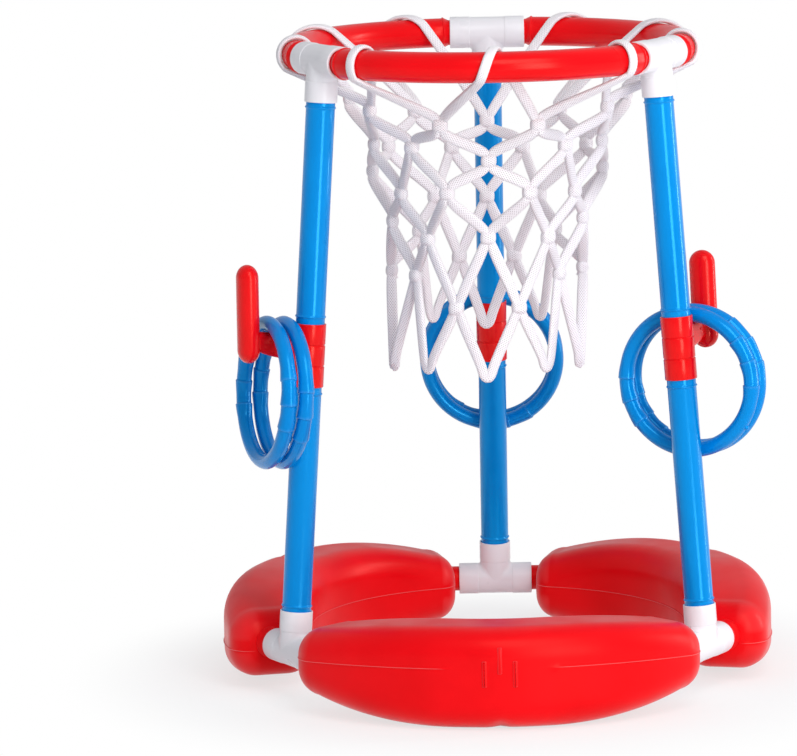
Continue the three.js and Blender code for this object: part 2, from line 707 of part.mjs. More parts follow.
// Cross-sections of a loop that winds round the rim: from below outside, over the top, down inside,
// going round towards +X by its lean, or the other way by a lean below zero
function loopSections(azimuthDeg, lean) {
  const step = radians(LOOP_WIND_TO_DEG - LOOP_WIND_FROM_DEG) / LOOP_STEPS;
  const reach = (RIM_TUBE_RADIUS + LOOP_GAP) / Math.cos(step / 2);
  const sections = [];
  for (let k = 0; k <= LOOP_STEPS; k += 1) {
    const wind = radians(LOOP_WIND_FROM_DEG) + step * k;
    const along = lean * (2 * k / LOOP_STEPS - 1);
    const place = (side, distance) => {
      const placeDeg = azimuthDeg + THREE.MathUtils.radToDeg((along + side * CORD_WIDTH / 2) / RIM_RADIUS);
      const point = netPoint(placeDeg, rimRadiusAt(placeDeg) + distance * Math.cos(wind), 0);
      point.z += distance * Math.sin(wind);
      return point;
    };
    const outside = reach + CORD_THICKNESS / 2;
    sections.push([place(-1, outside), place(1, outside), place(1, reach), place(-1, reach)]);
  }
  return sections;
}

// The knots of one row, the front one first or the front pair, going round both ways
function knotRow(row, depths, radii, more) {
  const pitch = 360 / MESH_COUNT;
  const start = row % 2 === 0 ? 1 / 2 : 0;
  return depths.flatMap((depth, index) => {
    const azimuth = pitch * (start + index);
    const knot = { depth, radius: radii[index], flatShare: KNOT_FLAT_SHARES[row], ...more };
    const isSingle = azimuth === 0 || azimuth === 180;
    return isSingle ? [{ azimuth, ...knot }] : [{ azimuth, ...knot }, { azimuth: -azimuth, ...knot }];
  });
}

// All the knots by layer: four full rows, a low row at the front and sides, and the points that end
// the net, at the front below the low row and at the back below the fourth row
function netKnots() {
  const rows = KNOT_DEPTHS.map((depths, row) => knotRow(row, depths, KNOT_RADII[row], {}));
  const pitch = 360 / MESH_COUNT;
  const frontPoints = knotRow(rows.length, POINT_DEPTHS, POINT_RADII, { isPoint: true });
  const backPoints = BACK_POINT_DEPTHS.map((depth, k) => ({
    azimuth: 180 + pitch * (k - (BACK_POINT_DEPTHS.length - 1) / 2),
    depth,
    radius: BACK_POINT_RADIUS,
    flatShare: KNOT_FLAT_SHARES[rows.length],
    isPoint: true,
  }));
  return { rows, frontPoints, backPoints };
}

function sameAzimuth(a, b) {
  return Math.abs(Math.sin(radians(a - b) / 2)) < ANGLE_TOLERANCE;
}

function net() {
  const surface = new NetSurface();
  const { rows, frontPoints, backPoints } = netKnots();
  const half = 180 / MESH_COUNT;
  const all = [...rows.flat(), ...frontPoints, ...backPoints];
  const built = new Map(all.map((knot) => [knot, { corners: knotCorners(knot), used: [] }]));
  const tie = (upper, lower, isRight) => {
    const from = isRight ? 'downRight' : 'downLeft';
    const to = isRight ? 'upLeft' : 'upRight';
    built.get(upper).used.push(from);
    built.get(lower).used.push(to);
    surface.cord([leaving(built.get(upper).corners, from), arriving(built.get(lower).corners, to)]);
  };
  const lowRow = rows.at(-1);
  const lastFullRow = rows.at(-2);
  const layers = rows.slice(1).map((row, index) => [rows[index], row]);
  layers.push([lastFullRow, backPoints], [lowRow, frontPoints]);
  for (const [uppers, lowers] of layers) {
    for (const upper of uppers) {
      for (const lower of lowers) {
        if (sameAzimuth(upper.azimuth + half, lower.azimuth)) tie(upper, lower, true);
        if (sameAzimuth(upper.azimuth - half, lower.azimuth)) tie(upper, lower, false);
      }
    }
  }
  LOOP_AZIMUTHS_DEG.forEach((azimuth, index) => {
    const middle = 2 * half * (index - (MESH_COUNT - 1) / 2);
    const left = built.get(rows[0].find((knot) => sameAzimuth(knot.azimuth, middle - half)));
    const right = built.get(rows[0].find((knot) => sameAzimuth(knot.azimuth, middle + half)));
    left.used.push('upRight');
    right.used.push('upLeft');
    if (azimuth < 0) {
      const outside = leaving(right.corners, 'upLeft');
      const inside = arrivingOver(left.corners, 'upRight');
      surface.cord([outside, ...loopSections(azimuth, -LOOP_LEANS[index]), inside]);
      return;
    }
    const outside = leaving(left.corners, 'upRight');
    const inside = arrivingOver(right.corners, 'upLeft');
    surface.cord([outside, ...loopSections(azimuth, LOOP_LEANS[index]), inside]);
  });
  for (const { corners, used } of built.values()) {
    surface.knot(corners, used);
  }
  return surface.geometry();
}

const hoop = new THREE.Group();

function addPiece(parent, name, geometry, material) {
  const mesh = new THREE.Mesh(geometry, material);
  mesh.name = name;
  parent.add(mesh);
  return mesh;
}

// One side of the hoop: base tee, leg in two lengths, clip with its rings, and top tee
function addSide({ name, azimuth, clipShare, hook, ringTurns }) {
  const clipCentre = LEG_SPAN * clipShare;
  const side = new THREE.Group();
  side.rotation.z = radians(azimuth);
  hoop.add(side);
  const leg = new THREE.Group();
  leg.position.x = BASE_RADIUS;
  leg.rotation.y = -SPLAY;
  side.add(leg);
  addPiece(leg, `base_tee_${name}`, tee(), WHITE);
  addPiece(leg, `leg_lower_${name}`, legLower(clipCentre), BLUE);
  addPiece(leg, `leg_upper_${name}`, legUpper(clipCentre), BLUE);
  const topTee = addPiece(leg, `top_tee_${name}`, tee(), WHITE);
  topTee.position.z = LEG_SPAN;
  topTee.rotation.x = Math.PI;
  const clip = new THREE.Group();
  clip.position.z = clipCentre;
  clip.rotation.z = radians(hook - azimuth);
  leg.add(clip);
  addPiece(clip, `hook_clip_${name}`, hookClip(), RED);
  ringTurns.forEach((turn, index) => {
    const ring = addPiece(clip, `toss_ring_${name}_${index + 1}`, tossRing(turn), BLUE);
    ring.position.set(RING_FROM_LEG + index * RING_PITCH, 0, ARM_AXIS);
    ring.rotation.x = Math.atan(Math.tan(SPLAY) * Math.sin(radians(hook - azimuth)));
  });
}

SIDES.forEach(addSide);

// The rim tube and float that follow each tee, going round; the front float lies the other way up
const ARCS = [
  { name: 'back_left', azimuth: 90 },
  { name: 'front', azimuth: 210 },
  { name: 'back_right', azimuth: 330 },
];
for (const { name, azimuth } of ARCS) {
  const rim = addPiece(hoop, `rim_tube_${name}`, rimTube(), RED);
  rim.position.z = RISE;
  rim.rotation.z = radians(azimuth);
  const base = new THREE.Group();
  base.rotation.z = radians(azimuth) + Math.PI / SIDE_COUNT;
  base.rotation.x = name === 'front' ? Math.PI : 0;
  base.rotation.order = 'ZXY';
  hoop.add(base);
  addPiece(base, `float_${name}`, float(), RED);
  addPiece(base, `float_plug_${name}`, floatPlug(), RED);
}

addPiece(hoop, 'net', net(), CORD);

// The origin is set at the bottom centre of the whole hoop
hoop.updateMatrixWorld(true);
const box = new THREE.Box3().setFromObject(hoop, true);
const middle = box.getCenter(new THREE.Vector3());
hoop.position.set(-middle.x, -middle.y, -box.min.z);
hoop.updateMatrixWorld(true);

export default hoop;
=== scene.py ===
import math

import bmesh
import bpy
import numpy as np
from mathutils import Matrix, Vector


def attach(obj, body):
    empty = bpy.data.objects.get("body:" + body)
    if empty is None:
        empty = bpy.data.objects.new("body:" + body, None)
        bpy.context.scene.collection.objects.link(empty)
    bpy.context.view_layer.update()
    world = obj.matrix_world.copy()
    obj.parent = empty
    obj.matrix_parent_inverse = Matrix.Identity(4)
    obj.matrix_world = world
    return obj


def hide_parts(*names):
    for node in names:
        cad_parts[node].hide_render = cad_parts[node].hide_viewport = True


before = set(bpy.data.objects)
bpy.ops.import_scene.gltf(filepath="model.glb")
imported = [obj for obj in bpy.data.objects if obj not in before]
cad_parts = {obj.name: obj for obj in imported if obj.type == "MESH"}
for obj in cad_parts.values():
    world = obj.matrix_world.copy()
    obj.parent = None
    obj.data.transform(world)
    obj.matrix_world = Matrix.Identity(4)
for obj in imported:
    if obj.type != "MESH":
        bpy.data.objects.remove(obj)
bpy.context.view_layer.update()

# Floats. Three blow-moulded hollow arcs of red plastic, a rounded box in section, that lie round the
# base and hold it up in the water. Each has a mould seam along both its sides, three grip ribs on
# its outer face, a round filler recess, and a neck at each end that pushes into a base tee.

# Sizes are in millimetres from the middle of the base ring, which lies here in the scene, in metres.
BASE_MIDDLE = (0.0, -0.003588, 0.050)
METRES = Matrix.Translation(BASE_MIDDLE) @ Matrix.Scale(0.001, 4)
SMOOTH_BELOW = math.radians(35.0)
BASE_RADIUS = 235.0
TEE_HALF_RUN = 38.5
NECK_RADIUS = 13.0
NECK_WALL = 2.0
NECK_INSERT = 18.0
NECK_SHOWN = 9.0
NECK_FOOT = 3.0
FLOAT_WIDTH = 88.0
FLOAT_HEIGHT = 100.0
FLOAT_RECESS_END = 31.0
FLOAT_PLAIN_END = 38.0
FLOAT_LEVEL_SHARE = 0.25
FLOAT_EDGE = 28.0
LEAST_EDGE = 3.0
FLOAT_END_RADIUS = 24.0
FLOAT_END = TEE_HALF_RUN + NECK_SHOWN
FLOAT_HALF_ANGLE = math.pi / 3 - math.asin(FLOAT_END / BASE_RADIUS)
RECESS_AT = BASE_RADIUS + 8.0
RECESS_RADIUS = 12.5
RECESS_DEPTH = 12.0
RECESS_LIP = 1.2

# The outer seam runs below the middle, lowest where the float is highest, and fades near the ribs.
SEAM_RIDGE = 1.0
OUTER_SEAM_DROP = 8.0
OUTER_SEAM_SAG = 5.0
SEAM_FADES_AT = 50.0
SEAM_FADE = 20.0
RIB_WIDTH = 4.5
RIB_HEIGHT = 26.0
RIB_CORNER = 1.6
RIB_SPACING = 15.0
RIB_DROP = 8.0
MIDDLE_RIB_DROP = 21.0

# A shallow sink mark on the upper outer edge, over the ribs: its size along, across and up.
DENT_DEPTH = 2.6
DENT_SIZE = (7.0, 13.0, 9.0)
DENT_ACROSS = 30.0
DENT_UP = FLOAT_HEIGHT / 2 - 4.0
DENT_INWARD = 0.3


def linear(red, green, blue):
    """A screen colour from 0 to 255 as the linear colour that a shader takes."""
    shares = [value / 255 for value in (red, green, blue)]
    return [s / 12.92 if s <= 0.04045 else ((s + 0.055) / 1.055) ** 2.4 for s in shares] + [1.0]


def skin(rings, loop=False, capped=False):
    """Points and faces of a skin over rows of points that each go round once."""
    rings = np.asarray(rings, float)
    rows, around = rings.shape[:2]
    faces = []
    for row in range(rows if loop else rows - 1):
        here = row * around
        after = (row + 1) % rows * around
        for k in range(around):
            turn = (k + 1) % around
            faces.append((here + k, here + turn, after + turn, after + k))
    if capped:
        faces.append(tuple(reversed(range(around))))
        faces.append(tuple(range((rows - 1) * around, rows * around)))
    return rings.reshape(-1, 3), faces


def eased(points, radius, closed=False, steps=4):
    """The same outline with its corners rounded, as pressed or moulded edges are."""
    points = [np.array(p, float) for p in points]
    count = len(points)
    result = []
    for index, corner in enumerate(points):
        if not closed and index in (0, count - 1):
            result.append(corner)
            continue
        before = points[index - 1] - corner
        after = points[(index + 1) % count] - corner
        reach = min(radius, 0.45 * np.linalg.norm(before), 0.45 * np.linalg.norm(after))
        start = corner + before / np.linalg.norm(before) * reach
        end = corner + after / np.linalg.norm(after) * reach
        for step in range(steps + 1):
            t = step / steps
            result.append((1 - t) ** 2 * start + 2 * t * (1 - t) * corner + t * t * end)
    return result


def turned(profile, sides=64, loop=True):
    """Points and faces of a turned form round +Z, from pairs of radius and height."""
    angles = np.linspace(0, 2 * math.pi, sides, endpoint=False)
    rings = [[(r * math.cos(a), r * math.sin(a), z) for a in angles] for r, z in profile]
    return skin(rings, loop=loop)


def joined(*forms):
    """Several forms as one list of points and one of faces."""
    points = []
    faces = []
    for form_points, form_faces in forms:
        start = len(points)
        points.extend([tuple(p) for p in form_points])
        faces.extend([tuple(start + index for index in face) for face in form_faces])
    return points, faces


def moved(form, matrix):
    """The same form after a turn or a shift."""
    points, faces = form
    return [tuple(matrix @ Vector(p)) for p in points], faces


def in_scene(name, data):
    """A new object in the scene, with this mesh, lamp or camera."""
    thing = bpy.data.objects.new(name, data)
    bpy.context.scene.collection.objects.link(thing)
    return thing


def make(name, form, place, material):
    """A mesh object from a form in millimetres, put in its place in the hoop."""
    points, faces = form
    mesh = bpy.data.meshes.new(name)
    mesh.from_pydata([tuple(p) for p in points], [], faces)
    mesh.transform(METRES @ place)
    work = bmesh.new()
    work.from_mesh(mesh)
    bmesh.ops.remove_doubles(work, verts=work.verts, dist=2e-6)
    bmesh.ops.recalc_face_normals(work, faces=work.faces)
    work.to_mesh(mesh)
    work.free()
    mesh.shade_smooth()
    mesh.set_sharp_from_angle(angle=SMOOTH_BELOW)
    mesh.materials.append(material)
    return in_scene(name, mesh)


def fix(piece, body, slot, *nodes):
    """The piece moves with a body and stands for these CAD nodes, which are hidden; slot is not used.
    """
    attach(piece, body)
    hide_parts(*nodes)


def noise(tree, scale, detail):
    """A cloudy pattern from 0 to 1, fixed to the piece."""
    node = tree.nodes.new("ShaderNodeTexNoise")
    node.inputs["Scale"].default_value = scale
    node.inputs["Detail"].default_value = detail
    place = tree.nodes.new("ShaderNodeTexCoord").outputs["Object"]
    tree.links.new(place, node.inputs["Vector"])
    return node.outputs["Fac"]


def mapped(tree, value, source, result):
    """A node that maps a value from one range to another."""
    node = tree.nodes.new("ShaderNodeMapRange")
    for name, limit in zip(("From Min", "From Max", "To Min", "To Max"), (*source, *result)):
        node.inputs[name].default_value = limit
    tree.links.new(value, node.inputs["Value"])
    return node


def plastic(name, tint, shade, gloss, shine, roughness, grain_depth, edges=(0.53, 0.62, 0.22)):
    """Moulded plastic: a slightly uneven colour and gloss, painted edge highlights and a fine grain.

    Three numbers say at what pointiness an edge's painted highlight starts, where it is full, and how
    strong.
    """
    material = bpy.data.materials.new(name)
    material.use_nodes = True
    tree = material.node_tree
    nodes = tree.nodes
    links = tree.links
    shader = nodes["Principled BSDF"]

    cloud = nodes.new("ShaderNodeValToRGB")
    cloud.color_ramp.elements[0].position = 0.34
    cloud.color_ramp.elements[0].color = shade
    cloud.color_ramp.elements[1].position = 0.62
    cloud.color_ramp.elements[1].color = tint
    links.new(noise(tree, scale=14.0, detail=3.0), cloud.inputs["Fac"])
    # Convex edges and seams get a lighter colour: a painted highlight.
    pointiness = nodes.new("ShaderNodeNewGeometry").outputs["Pointiness"]
    edge = mapped(tree, pointiness, edges[:2], (0.0, edges[2]))
    edge_highlight = nodes.new("ShaderNodeMix")
    edge_highlight.data_type = "RGBA"
    edge_highlight.inputs["B"].default_value = [0.5 + 0.5 * value for value in tint[:3]] + [1.0]
    links.new(edge.outputs["Result"], edge_highlight.inputs["Factor"])
    links.new(cloud.outputs["Color"], edge_highlight.inputs["A"])
    links.new(edge_highlight.outputs["Result"], shader.inputs["Base Color"])

    wear = noise(tree, scale=20.0, detail=2.0)
    rough = mapped(tree, wear, (0.3, 0.7), (roughness * 0.82, roughness * 1.2))
    links.new(rough.outputs["Result"], shader.inputs["Roughness"])

    grain = nodes.new("ShaderNodeBump")
    grain.inputs["Strength"].default_value = 0.4
    grain.inputs["Distance"].default_value = grain_depth
    links.new(noise(tree, scale=1400.0, detail=2.0), grain.inputs["Height"])
    links.new(grain.outputs["Normal"], shader.inputs["Normal"])
    shader.inputs["IOR"].default_value = 1.5
    shader.inputs["Specular IOR Level"].default_value = shine
    shader.inputs["Specular Tint"].default_value = gloss
    return material


RED = linear(240, 6, 20)
DEEP_RED = linear(230, 3, 16)
RED_GLOSS = linear(255, 130, 115)

# The floats' plastic carries a stronger painted highlight along its edges and seams.
red_float_plastic = plastic(
    "red_float_plastic", RED, DEEP_RED, RED_GLOSS,
    shine=0.45, roughness=0.34, grain_depth=0.00003, edges=(0.515, 0.58, 0.42))
red_trim_plastic = plastic(
    "red_trim_plastic", RED, DEEP_RED, RED_GLOSS,
    shine=0.45, roughness=0.34, grain_depth=0.00003)


def float_side(half_width, edge, upper, lower, seam_at, ridge):
    """One side of a float's outline from its top down: round edges, and the seam as a low ridge."""
    corner = [math.pi / 2 * k / 12 for k in range(13)]
    seam = [(0.65, 0.0), (0.3, 0.8), (0.0, 1.0), (-0.3, 0.8), (-0.65, 0.0)]
    flat_top = half_width - edge
    side = [(flat_top + edge * math.sin(a), upper + edge * math.cos(a)) for a in corner]
    side += [(half_width, upper - (upper + seam_at - 0.9) * share) for share in (0.2, 0.4, 0.6, 0.8)]
    side += [(half_width + ridge * rise, up - seam_at) for up, rise in seam]
    side += [(half_width, -seam_at - (lower - seam_at) * share) for share in (0.55, 0.75)]
    side += [(flat_top + edge * math.sin(a), -lower - edge * math.cos(a)) for a in reversed(corner)]
    return side


def float_face(drawn_in, crown, outer_ridge):
    """The outline of a float across its length: a rounded box with a seam on both its sides."""
    half_width = FLOAT_WIDTH / 2 - drawn_in
    edge = max(FLOAT_EDGE - drawn_in, LEAST_EDGE)
    ends = (FLOAT_RECESS_END, FLOAT_PLAIN_END)
    upper, lower = [end + (FLOAT_HEIGHT / 2 - end) * crown - drawn_in - edge for end in ends]
    flat_top = half_width - edge
    top = [(flat_top * (2 * k / 8 - 1), upper + edge) for k in range(1, 8)]
    bottom = [(flat_top * (1 - 2 * k / 8), -lower - edge) for k in range(1, 8)]
    outer_seam = OUTER_SEAM_DROP + OUTER_SEAM_SAG * crown
    outer = float_side(half_width, edge, upper, lower, outer_seam, outer_ridge)
    inner = float_side(half_width, edge, upper, lower, 0.0, SEAM_RIDGE)
    return top + outer + bottom + [(-x, z) for x, z in reversed(inner)]


def float_body():
    """The body of a float, bent round +Z, with rounded ends and its recess side up."""
    straight = FLOAT_HALF_ANGLE - FLOAT_END_RADIUS / BASE_RADIUS
    stations = []
    for k in range(11):
        turn = math.pi / 2 * k / 10
        along = FLOAT_END_RADIUS * (1 - math.cos(turn))
        drawn_in = FLOAT_END_RADIUS * (1 - math.sin(turn))
        stations.append((FLOAT_HALF_ANGLE - along / BASE_RADIUS, drawn_in))
    middle = [(straight * (1 - 2 * k / 90), 0.0) for k in range(1, 90)]
    stations = stations + middle + [(-angle, drawn_in) for angle, drawn_in in reversed(stations)]
    rings = []
    for angle, drawn_in in stations:
        beyond = max(min(abs(angle) / straight, 1.0) - FLOAT_LEVEL_SHARE, 0.0)
        beyond /= 1 - FLOAT_LEVEL_SHARE
        arc = angle * (BASE_RADIUS + FLOAT_WIDTH / 2)
        ridge = SEAM_RIDGE * min(max((abs(arc) - SEAM_FADES_AT) / SEAM_FADE, 0.0), 1.0)
        ring = []
        for across, up in float_face(drawn_in, 1.0 - beyond ** 2, ridge):
            dent = DENT_DEPTH * math.exp(-(arc / DENT_SIZE[0]) ** 2)
            dent *= math.exp(-((across - DENT_ACROSS) / DENT_SIZE[1]) ** 2)
            dent *= math.exp(-((up - DENT_UP) / DENT_SIZE[2]) ** 2)
            radius = BASE_RADIUS + across - dent * DENT_INWARD
            ring.append((radius * math.cos(angle), radius * math.sin(angle), up - dent))
        rings.append(ring)
    return skin(rings, capped=True)


def float_neck(end):
    """The neck at one end, in line with the run of the tee it enters."""
    inner = NECK_RADIUS - NECK_WALL
    foot = NECK_RADIUS + NECK_FOOT
    mouth = TEE_HALF_RUN - NECK_INSERT
    root = FLOAT_END + 6.0
    profile = eased([
        (inner, mouth), (NECK_RADIUS, mouth), (NECK_RADIUS, FLOAT_END - 1.0),
        (foot, FLOAT_END + 2.5), (foot, root), (inner, root),
    ], 0.8, closed=True)
    turn = Matrix.Rotation(end * math.pi / 3, 4, "Z") @ Matrix.Translation((BASE_RADIUS, 0, 0))
    return moved(turned(profile, 48), turn @ Matrix.Rotation(end * math.pi / 2, 4, "X"))


def grip_rib(order):
    """One upright rib on the outer face; the middle one stands nearer the float's plain side."""
    side = RIB_WIDTH / 2
    end = RIB_HEIGHT / 2
    outline = eased([(-side, -end), (side, -end), (side, end), (-side, end)], RIB_CORNER, closed=True)
    up_middle = -MIDDLE_RIB_DROP if order == 0 else -RIB_DROP
    rows = []
    for inset, rise in ((0.0, -1.0), (0.0, 0.5), (0.25, 1.0), (0.8, 1.35)):
        row = []
        for across, up in outline:
            across -= math.copysign(inset, across)
            up = up - math.copysign(inset, up) + up_middle
            beyond = max(abs(up) - (FLOAT_HEIGHT / 2 - FLOAT_EDGE), 0.0)
            face = FLOAT_WIDTH / 2 - FLOAT_EDGE + math.sqrt(FLOAT_EDGE ** 2 - beyond ** 2)
            radius = BASE_RADIUS + face + rise
            angle = (order * RIB_SPACING + across) / (BASE_RADIUS + FLOAT_WIDTH / 2)
            row.append((radius * math.cos(angle), radius * math.sin(angle), up))
        rows.append(row)
    return skin(rows, capped=True)


def cut_recess(piece, place):
    """Cuts the round filler recess, with a rolled lip, down into the top of a float."""
    top = FLOAT_HEIGHT / 2
    clear = top + 6.0
    bottom = top - RECESS_DEPTH
    lip = RECESS_RADIUS + RECESS_LIP
    profile = eased([
        (0.0, clear), (lip, clear), (lip, top), (RECESS_RADIUS, top - RECESS_LIP),
        (RECESS_RADIUS, bottom), (0.0, bottom),
    ], 1.5)
    form = moved(turned(profile, loop=False), Matrix.Translation((RECESS_AT, 0, 0)))
    cutter = make("recess_cutter", form, place, red_float_plastic)
    cut = piece.modifiers.new("recess", "BOOLEAN")
    cut.operation = "DIFFERENCE"
    cut.solver = "EXACT"
    cut.object = cutter
    bpy.context.view_layer.update()
    evaluated = piece.evaluated_get(bpy.context.evaluated_depsgraph_get())
    shaped = bpy.data.meshes.new_from_object(evaluated)
    piece.modifiers.clear()
    piece.data = shaped
    shaped.shade_smooth()
    shaped.set_sharp_from_angle(angle=SMOOTH_BELOW)
    bpy.data.objects.remove(cutter)


float_places = {}
for arc, azimuth in (("back_left", 90), ("front", 210), ("back_right", 330)):
    float_places[arc] = Matrix.Rotation(math.radians(azimuth + 60), 4, "Z")
    if arc == "front":
        float_places[arc] = float_places[arc] @ Matrix.Rotation(math.pi, 4, "X")
for arc, place in float_places.items():
    body = make(f"red_float_{arc}", float_body(), place, red_float_plastic)
    cut_recess(body, place)
    fix(body, "frame", "red_plastic", f"float_{arc}")
    details = joined(float_neck(1), float_neck(-1), grip_rib(-1), grip_rib(0), grip_rib(1))
    trim = make(f"red_float_trim_{arc}", details, place, red_trim_plastic)
    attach(trim, "frame")

# Float plugs. A push-in stopper of soft red plastic in the floor of each filler recess, with a
# rolled edge and a shallow dimple in its head, and a stem that seals the hole.
FIT_GAP = 0.35
PLUG_RADIUS = 10.0
PLUG_HEIGHT = 4.0
PLUG_STEM_RADIUS = 5.0
PLUG_STEM_LENGTH = 9.0
DIMPLE_RADIUS = 5.5
DIMPLE_SLOPE = 1.1
DIMPLE_DEPTH = 0.8

for arc, place in float_places.items():
    seat = FLOAT_HEIGHT / 2 - RECESS_DEPTH + FIT_GAP
    head = seat + PLUG_HEIGHT
    dimple = head - DIMPLE_DEPTH
    foot = seat - PLUG_STEM_LENGTH
    plug_profile = eased([
        (0.0, dimple), (DIMPLE_RADIUS, dimple), (DIMPLE_RADIUS + DIMPLE_SLOPE, head),
        (PLUG_RADIUS, head), (PLUG_RADIUS, seat), (PLUG_STEM_RADIUS, seat),
        (PLUG_STEM_RADIUS, foot), (0.0, foot),
    ], 0.9)
    plug_form = moved(turned(plug_profile, 48, loop=False), Matrix.Translation((RECESS_AT, 0, 0)))
    plug = make(f"filler_plug_{arc}", plug_form, place, red_trim_plastic)
    fix(plug, "frame", "red_plastic", f"float_plug_{arc}")

# Base tees. Injection-moulded white push-fit tees that lie between the floats, each with a thicker
# collar at its three mouths; the branch leans inward and takes the foot of a leg.
RIM_TEE_RADIUS = 189.0
RISE = 588.0
SPLAY = math.atan2(BASE_RADIUS - RIM_TEE_RADIUS, RISE)
LEG_SPAN = math.hypot(BASE_RADIUS - RIM_TEE_RADIUS, RISE)
TEE_BRANCH = 41.0
TEE_RADIUS = 15.8
COLLAR_RADIUS = 16.3
COLLAR_LENGTH = 20.0
COLLAR_STEP = 0.4
SADDLE = 4.5
LEG_RADIUS = 14.5

# For each leg: its azimuth, the azimuth its hook points to, and how far up the leg its clip sits.
SIDES = {"back": (90, 90, 0.461), "left": (210, 201, 0.505), "right": (330, 422, 0.507)}

white_tee_plastic = plastic(
    "white_tee_plastic", linear(238, 236, 240), linear(230, 228, 232), linear(255, 255, 255),
    shine=0.4, roughness=0.3, grain_depth=0.00002)


def leg_place(azimuth):
    """Where a leg starts: the middle of its base tee, with +Z up the leaning leg."""
    out = Matrix.Rotation(math.radians(azimuth), 4, "Z") @ Matrix.Translation((BASE_RADIUS, 0, 0))
    return out @ Matrix.Rotation(-SPLAY, 4, "Y")


def tee_form():
    """A hollow run along Y, and a branch up +Z that leaves it in a rounded saddle."""
    inner = NECK_RADIUS + FIT_GAP
    waist = TEE_HALF_RUN - COLLAR_LENGTH
    run = turned(eased([
        (COLLAR_RADIUS, TEE_HALF_RUN), (COLLAR_RADIUS, waist),
        (TEE_RADIUS, waist - COLLAR_STEP), (TEE_RADIUS, COLLAR_STEP - waist),
        (COLLAR_RADIUS, -waist), (COLLAR_RADIUS, -TEE_HALF_RUN),
        (inner, -TEE_HALF_RUN), (inner, TEE_HALF_RUN),
    ], 0.9, closed=True), 72)
    run = moved(run, Matrix.Rotation(math.pi / 2, 4, "X"))
    leg_bore = LEG_RADIUS + FIT_GAP
    waist = TEE_BRANCH - COLLAR_LENGTH
    upper = eased([
        (TEE_RADIUS, waist - 2.0), (TEE_RADIUS, waist - COLLAR_STEP),
        (COLLAR_RADIUS, waist), (COLLAR_RADIUS, TEE_BRANCH),
        (leg_bore, TEE_BRANCH), (leg_bore, waist + 1.0),
    ], 0.9)
    rows = []
    sides = 96
    for step in range(9):
        t = step / 8
        row = []
        for k in range(sides):
            angle = 2 * math.pi * k / sides
            lean = abs(math.cos(angle))
            spread = min(SADDLE, 0.92 * TEE_RADIUS * (1 / max(lean, 1e-6) - 1)) + 0.02
            foot = math.sqrt(max(TEE_RADIUS ** 2 - (TEE_RADIUS * lean) ** 2, 0.0))
            reach = TEE_RADIUS + spread
            low = math.sqrt(max(TEE_RADIUS ** 2 - (reach * lean) ** 2, 0.0)) - 0.05
            radius = (1 - t) ** 2 * reach + 2 * t * (1 - t) * TEE_RADIUS + t * t * TEE_RADIUS
            height = (1 - t) ** 2 * low + 2 * t * (1 - t) * foot + t * t * (foot + spread)
            row.append((radius * math.cos(angle), radius * math.sin(angle), height))
        rows.append(row)
    for radius, height in upper:
        row = []
        for k in range(sides):
            angle = 2 * math.pi * k / sides
            row.append((radius * math.cos(angle), radius * math.sin(angle), height))
        rows.append(row)
    return joined(run, skin(rows))


for side, (azimuth, hook, clip_share) in SIDES.items():
    tee = make(f"white_base_tee_{side}", tee_form(), leg_place(azimuth), white_tee_plastic)
    fix(tee, "frame", "white_plastic", f"base_tee_{side}")

# Legs. Two glossy blue tubes to a leg, joined end to end at mid-height under the clip; each has a
# fine raised bead near both its mouths, and the leg pushes into a tee at top and bottom.
CLIP_LENGTH = 63.0
LEG_BORE = 12.9
LEG_INSERT = 20.0
LEG_START = TEE_BRANCH - LEG_INSERT
BEAD_FROM_CLIP = 7.0
BEAD_FROM_TEE = 5.0
BEAD_RISE = 1.0
BEAD_LENGTH = 3.0
BLUE_GLOSS = linear(80, 205, 255)

blue_tube_plastic = plastic(
    "blue_tube_plastic", linear(0, 138, 218), linear(0, 131, 212), BLUE_GLOSS,
    shine=1.0, roughness=0.16, grain_depth=0.00002)


def bead(centre):
    """A thin raised ring round a tube, as profile points from its upper to its lower edge."""
    half = BEAD_LENGTH / 2
    flank = LEG_RADIUS + BEAD_RISE * 0.8
    return [(LEG_RADIUS, centre + half), (flank, centre + half * 0.35),
            (LEG_RADIUS + BEAD_RISE, centre), (flank, centre - half * 0.35),
            (LEG_RADIUS, centre - half)]


def leg_tube(low, high, beads):
    """A straight tube between two heights, with its beads given from the top down."""
    profile = [(LEG_BORE, high), (LEG_RADIUS, high)]
    for centre in beads:
        profile += bead(centre)
    profile += [(LEG_RADIUS, low), (LEG_BORE, low)]
    return turned(eased(profile, 0.5, closed=True, steps=3), 72)


for side, (azimuth, hook, clip_share) in SIDES.items():
    joined_at = LEG_SPAN * clip_share
    past_clip = CLIP_LENGTH / 2 + BEAD_FROM_CLIP
    past_tee = TEE_BRANCH + BEAD_FROM_TEE
    lower = leg_tube(LEG_START, joined_at, [joined_at - past_clip, past_tee])
    upper = leg_tube(joined_at + FIT_GAP, LEG_SPAN - LEG_START,
                     [LEG_SPAN - past_tee, joined_at + past_clip])
    for level, tube_form in (("lower", lower), ("upper", upper)):
        tube = make(f"blue_leg_{level}_{side}", tube_form, leg_place(azimuth), blue_tube_plastic)
        fix(tube, "frame", "blue_plastic", f"leg_{level}_{side}")

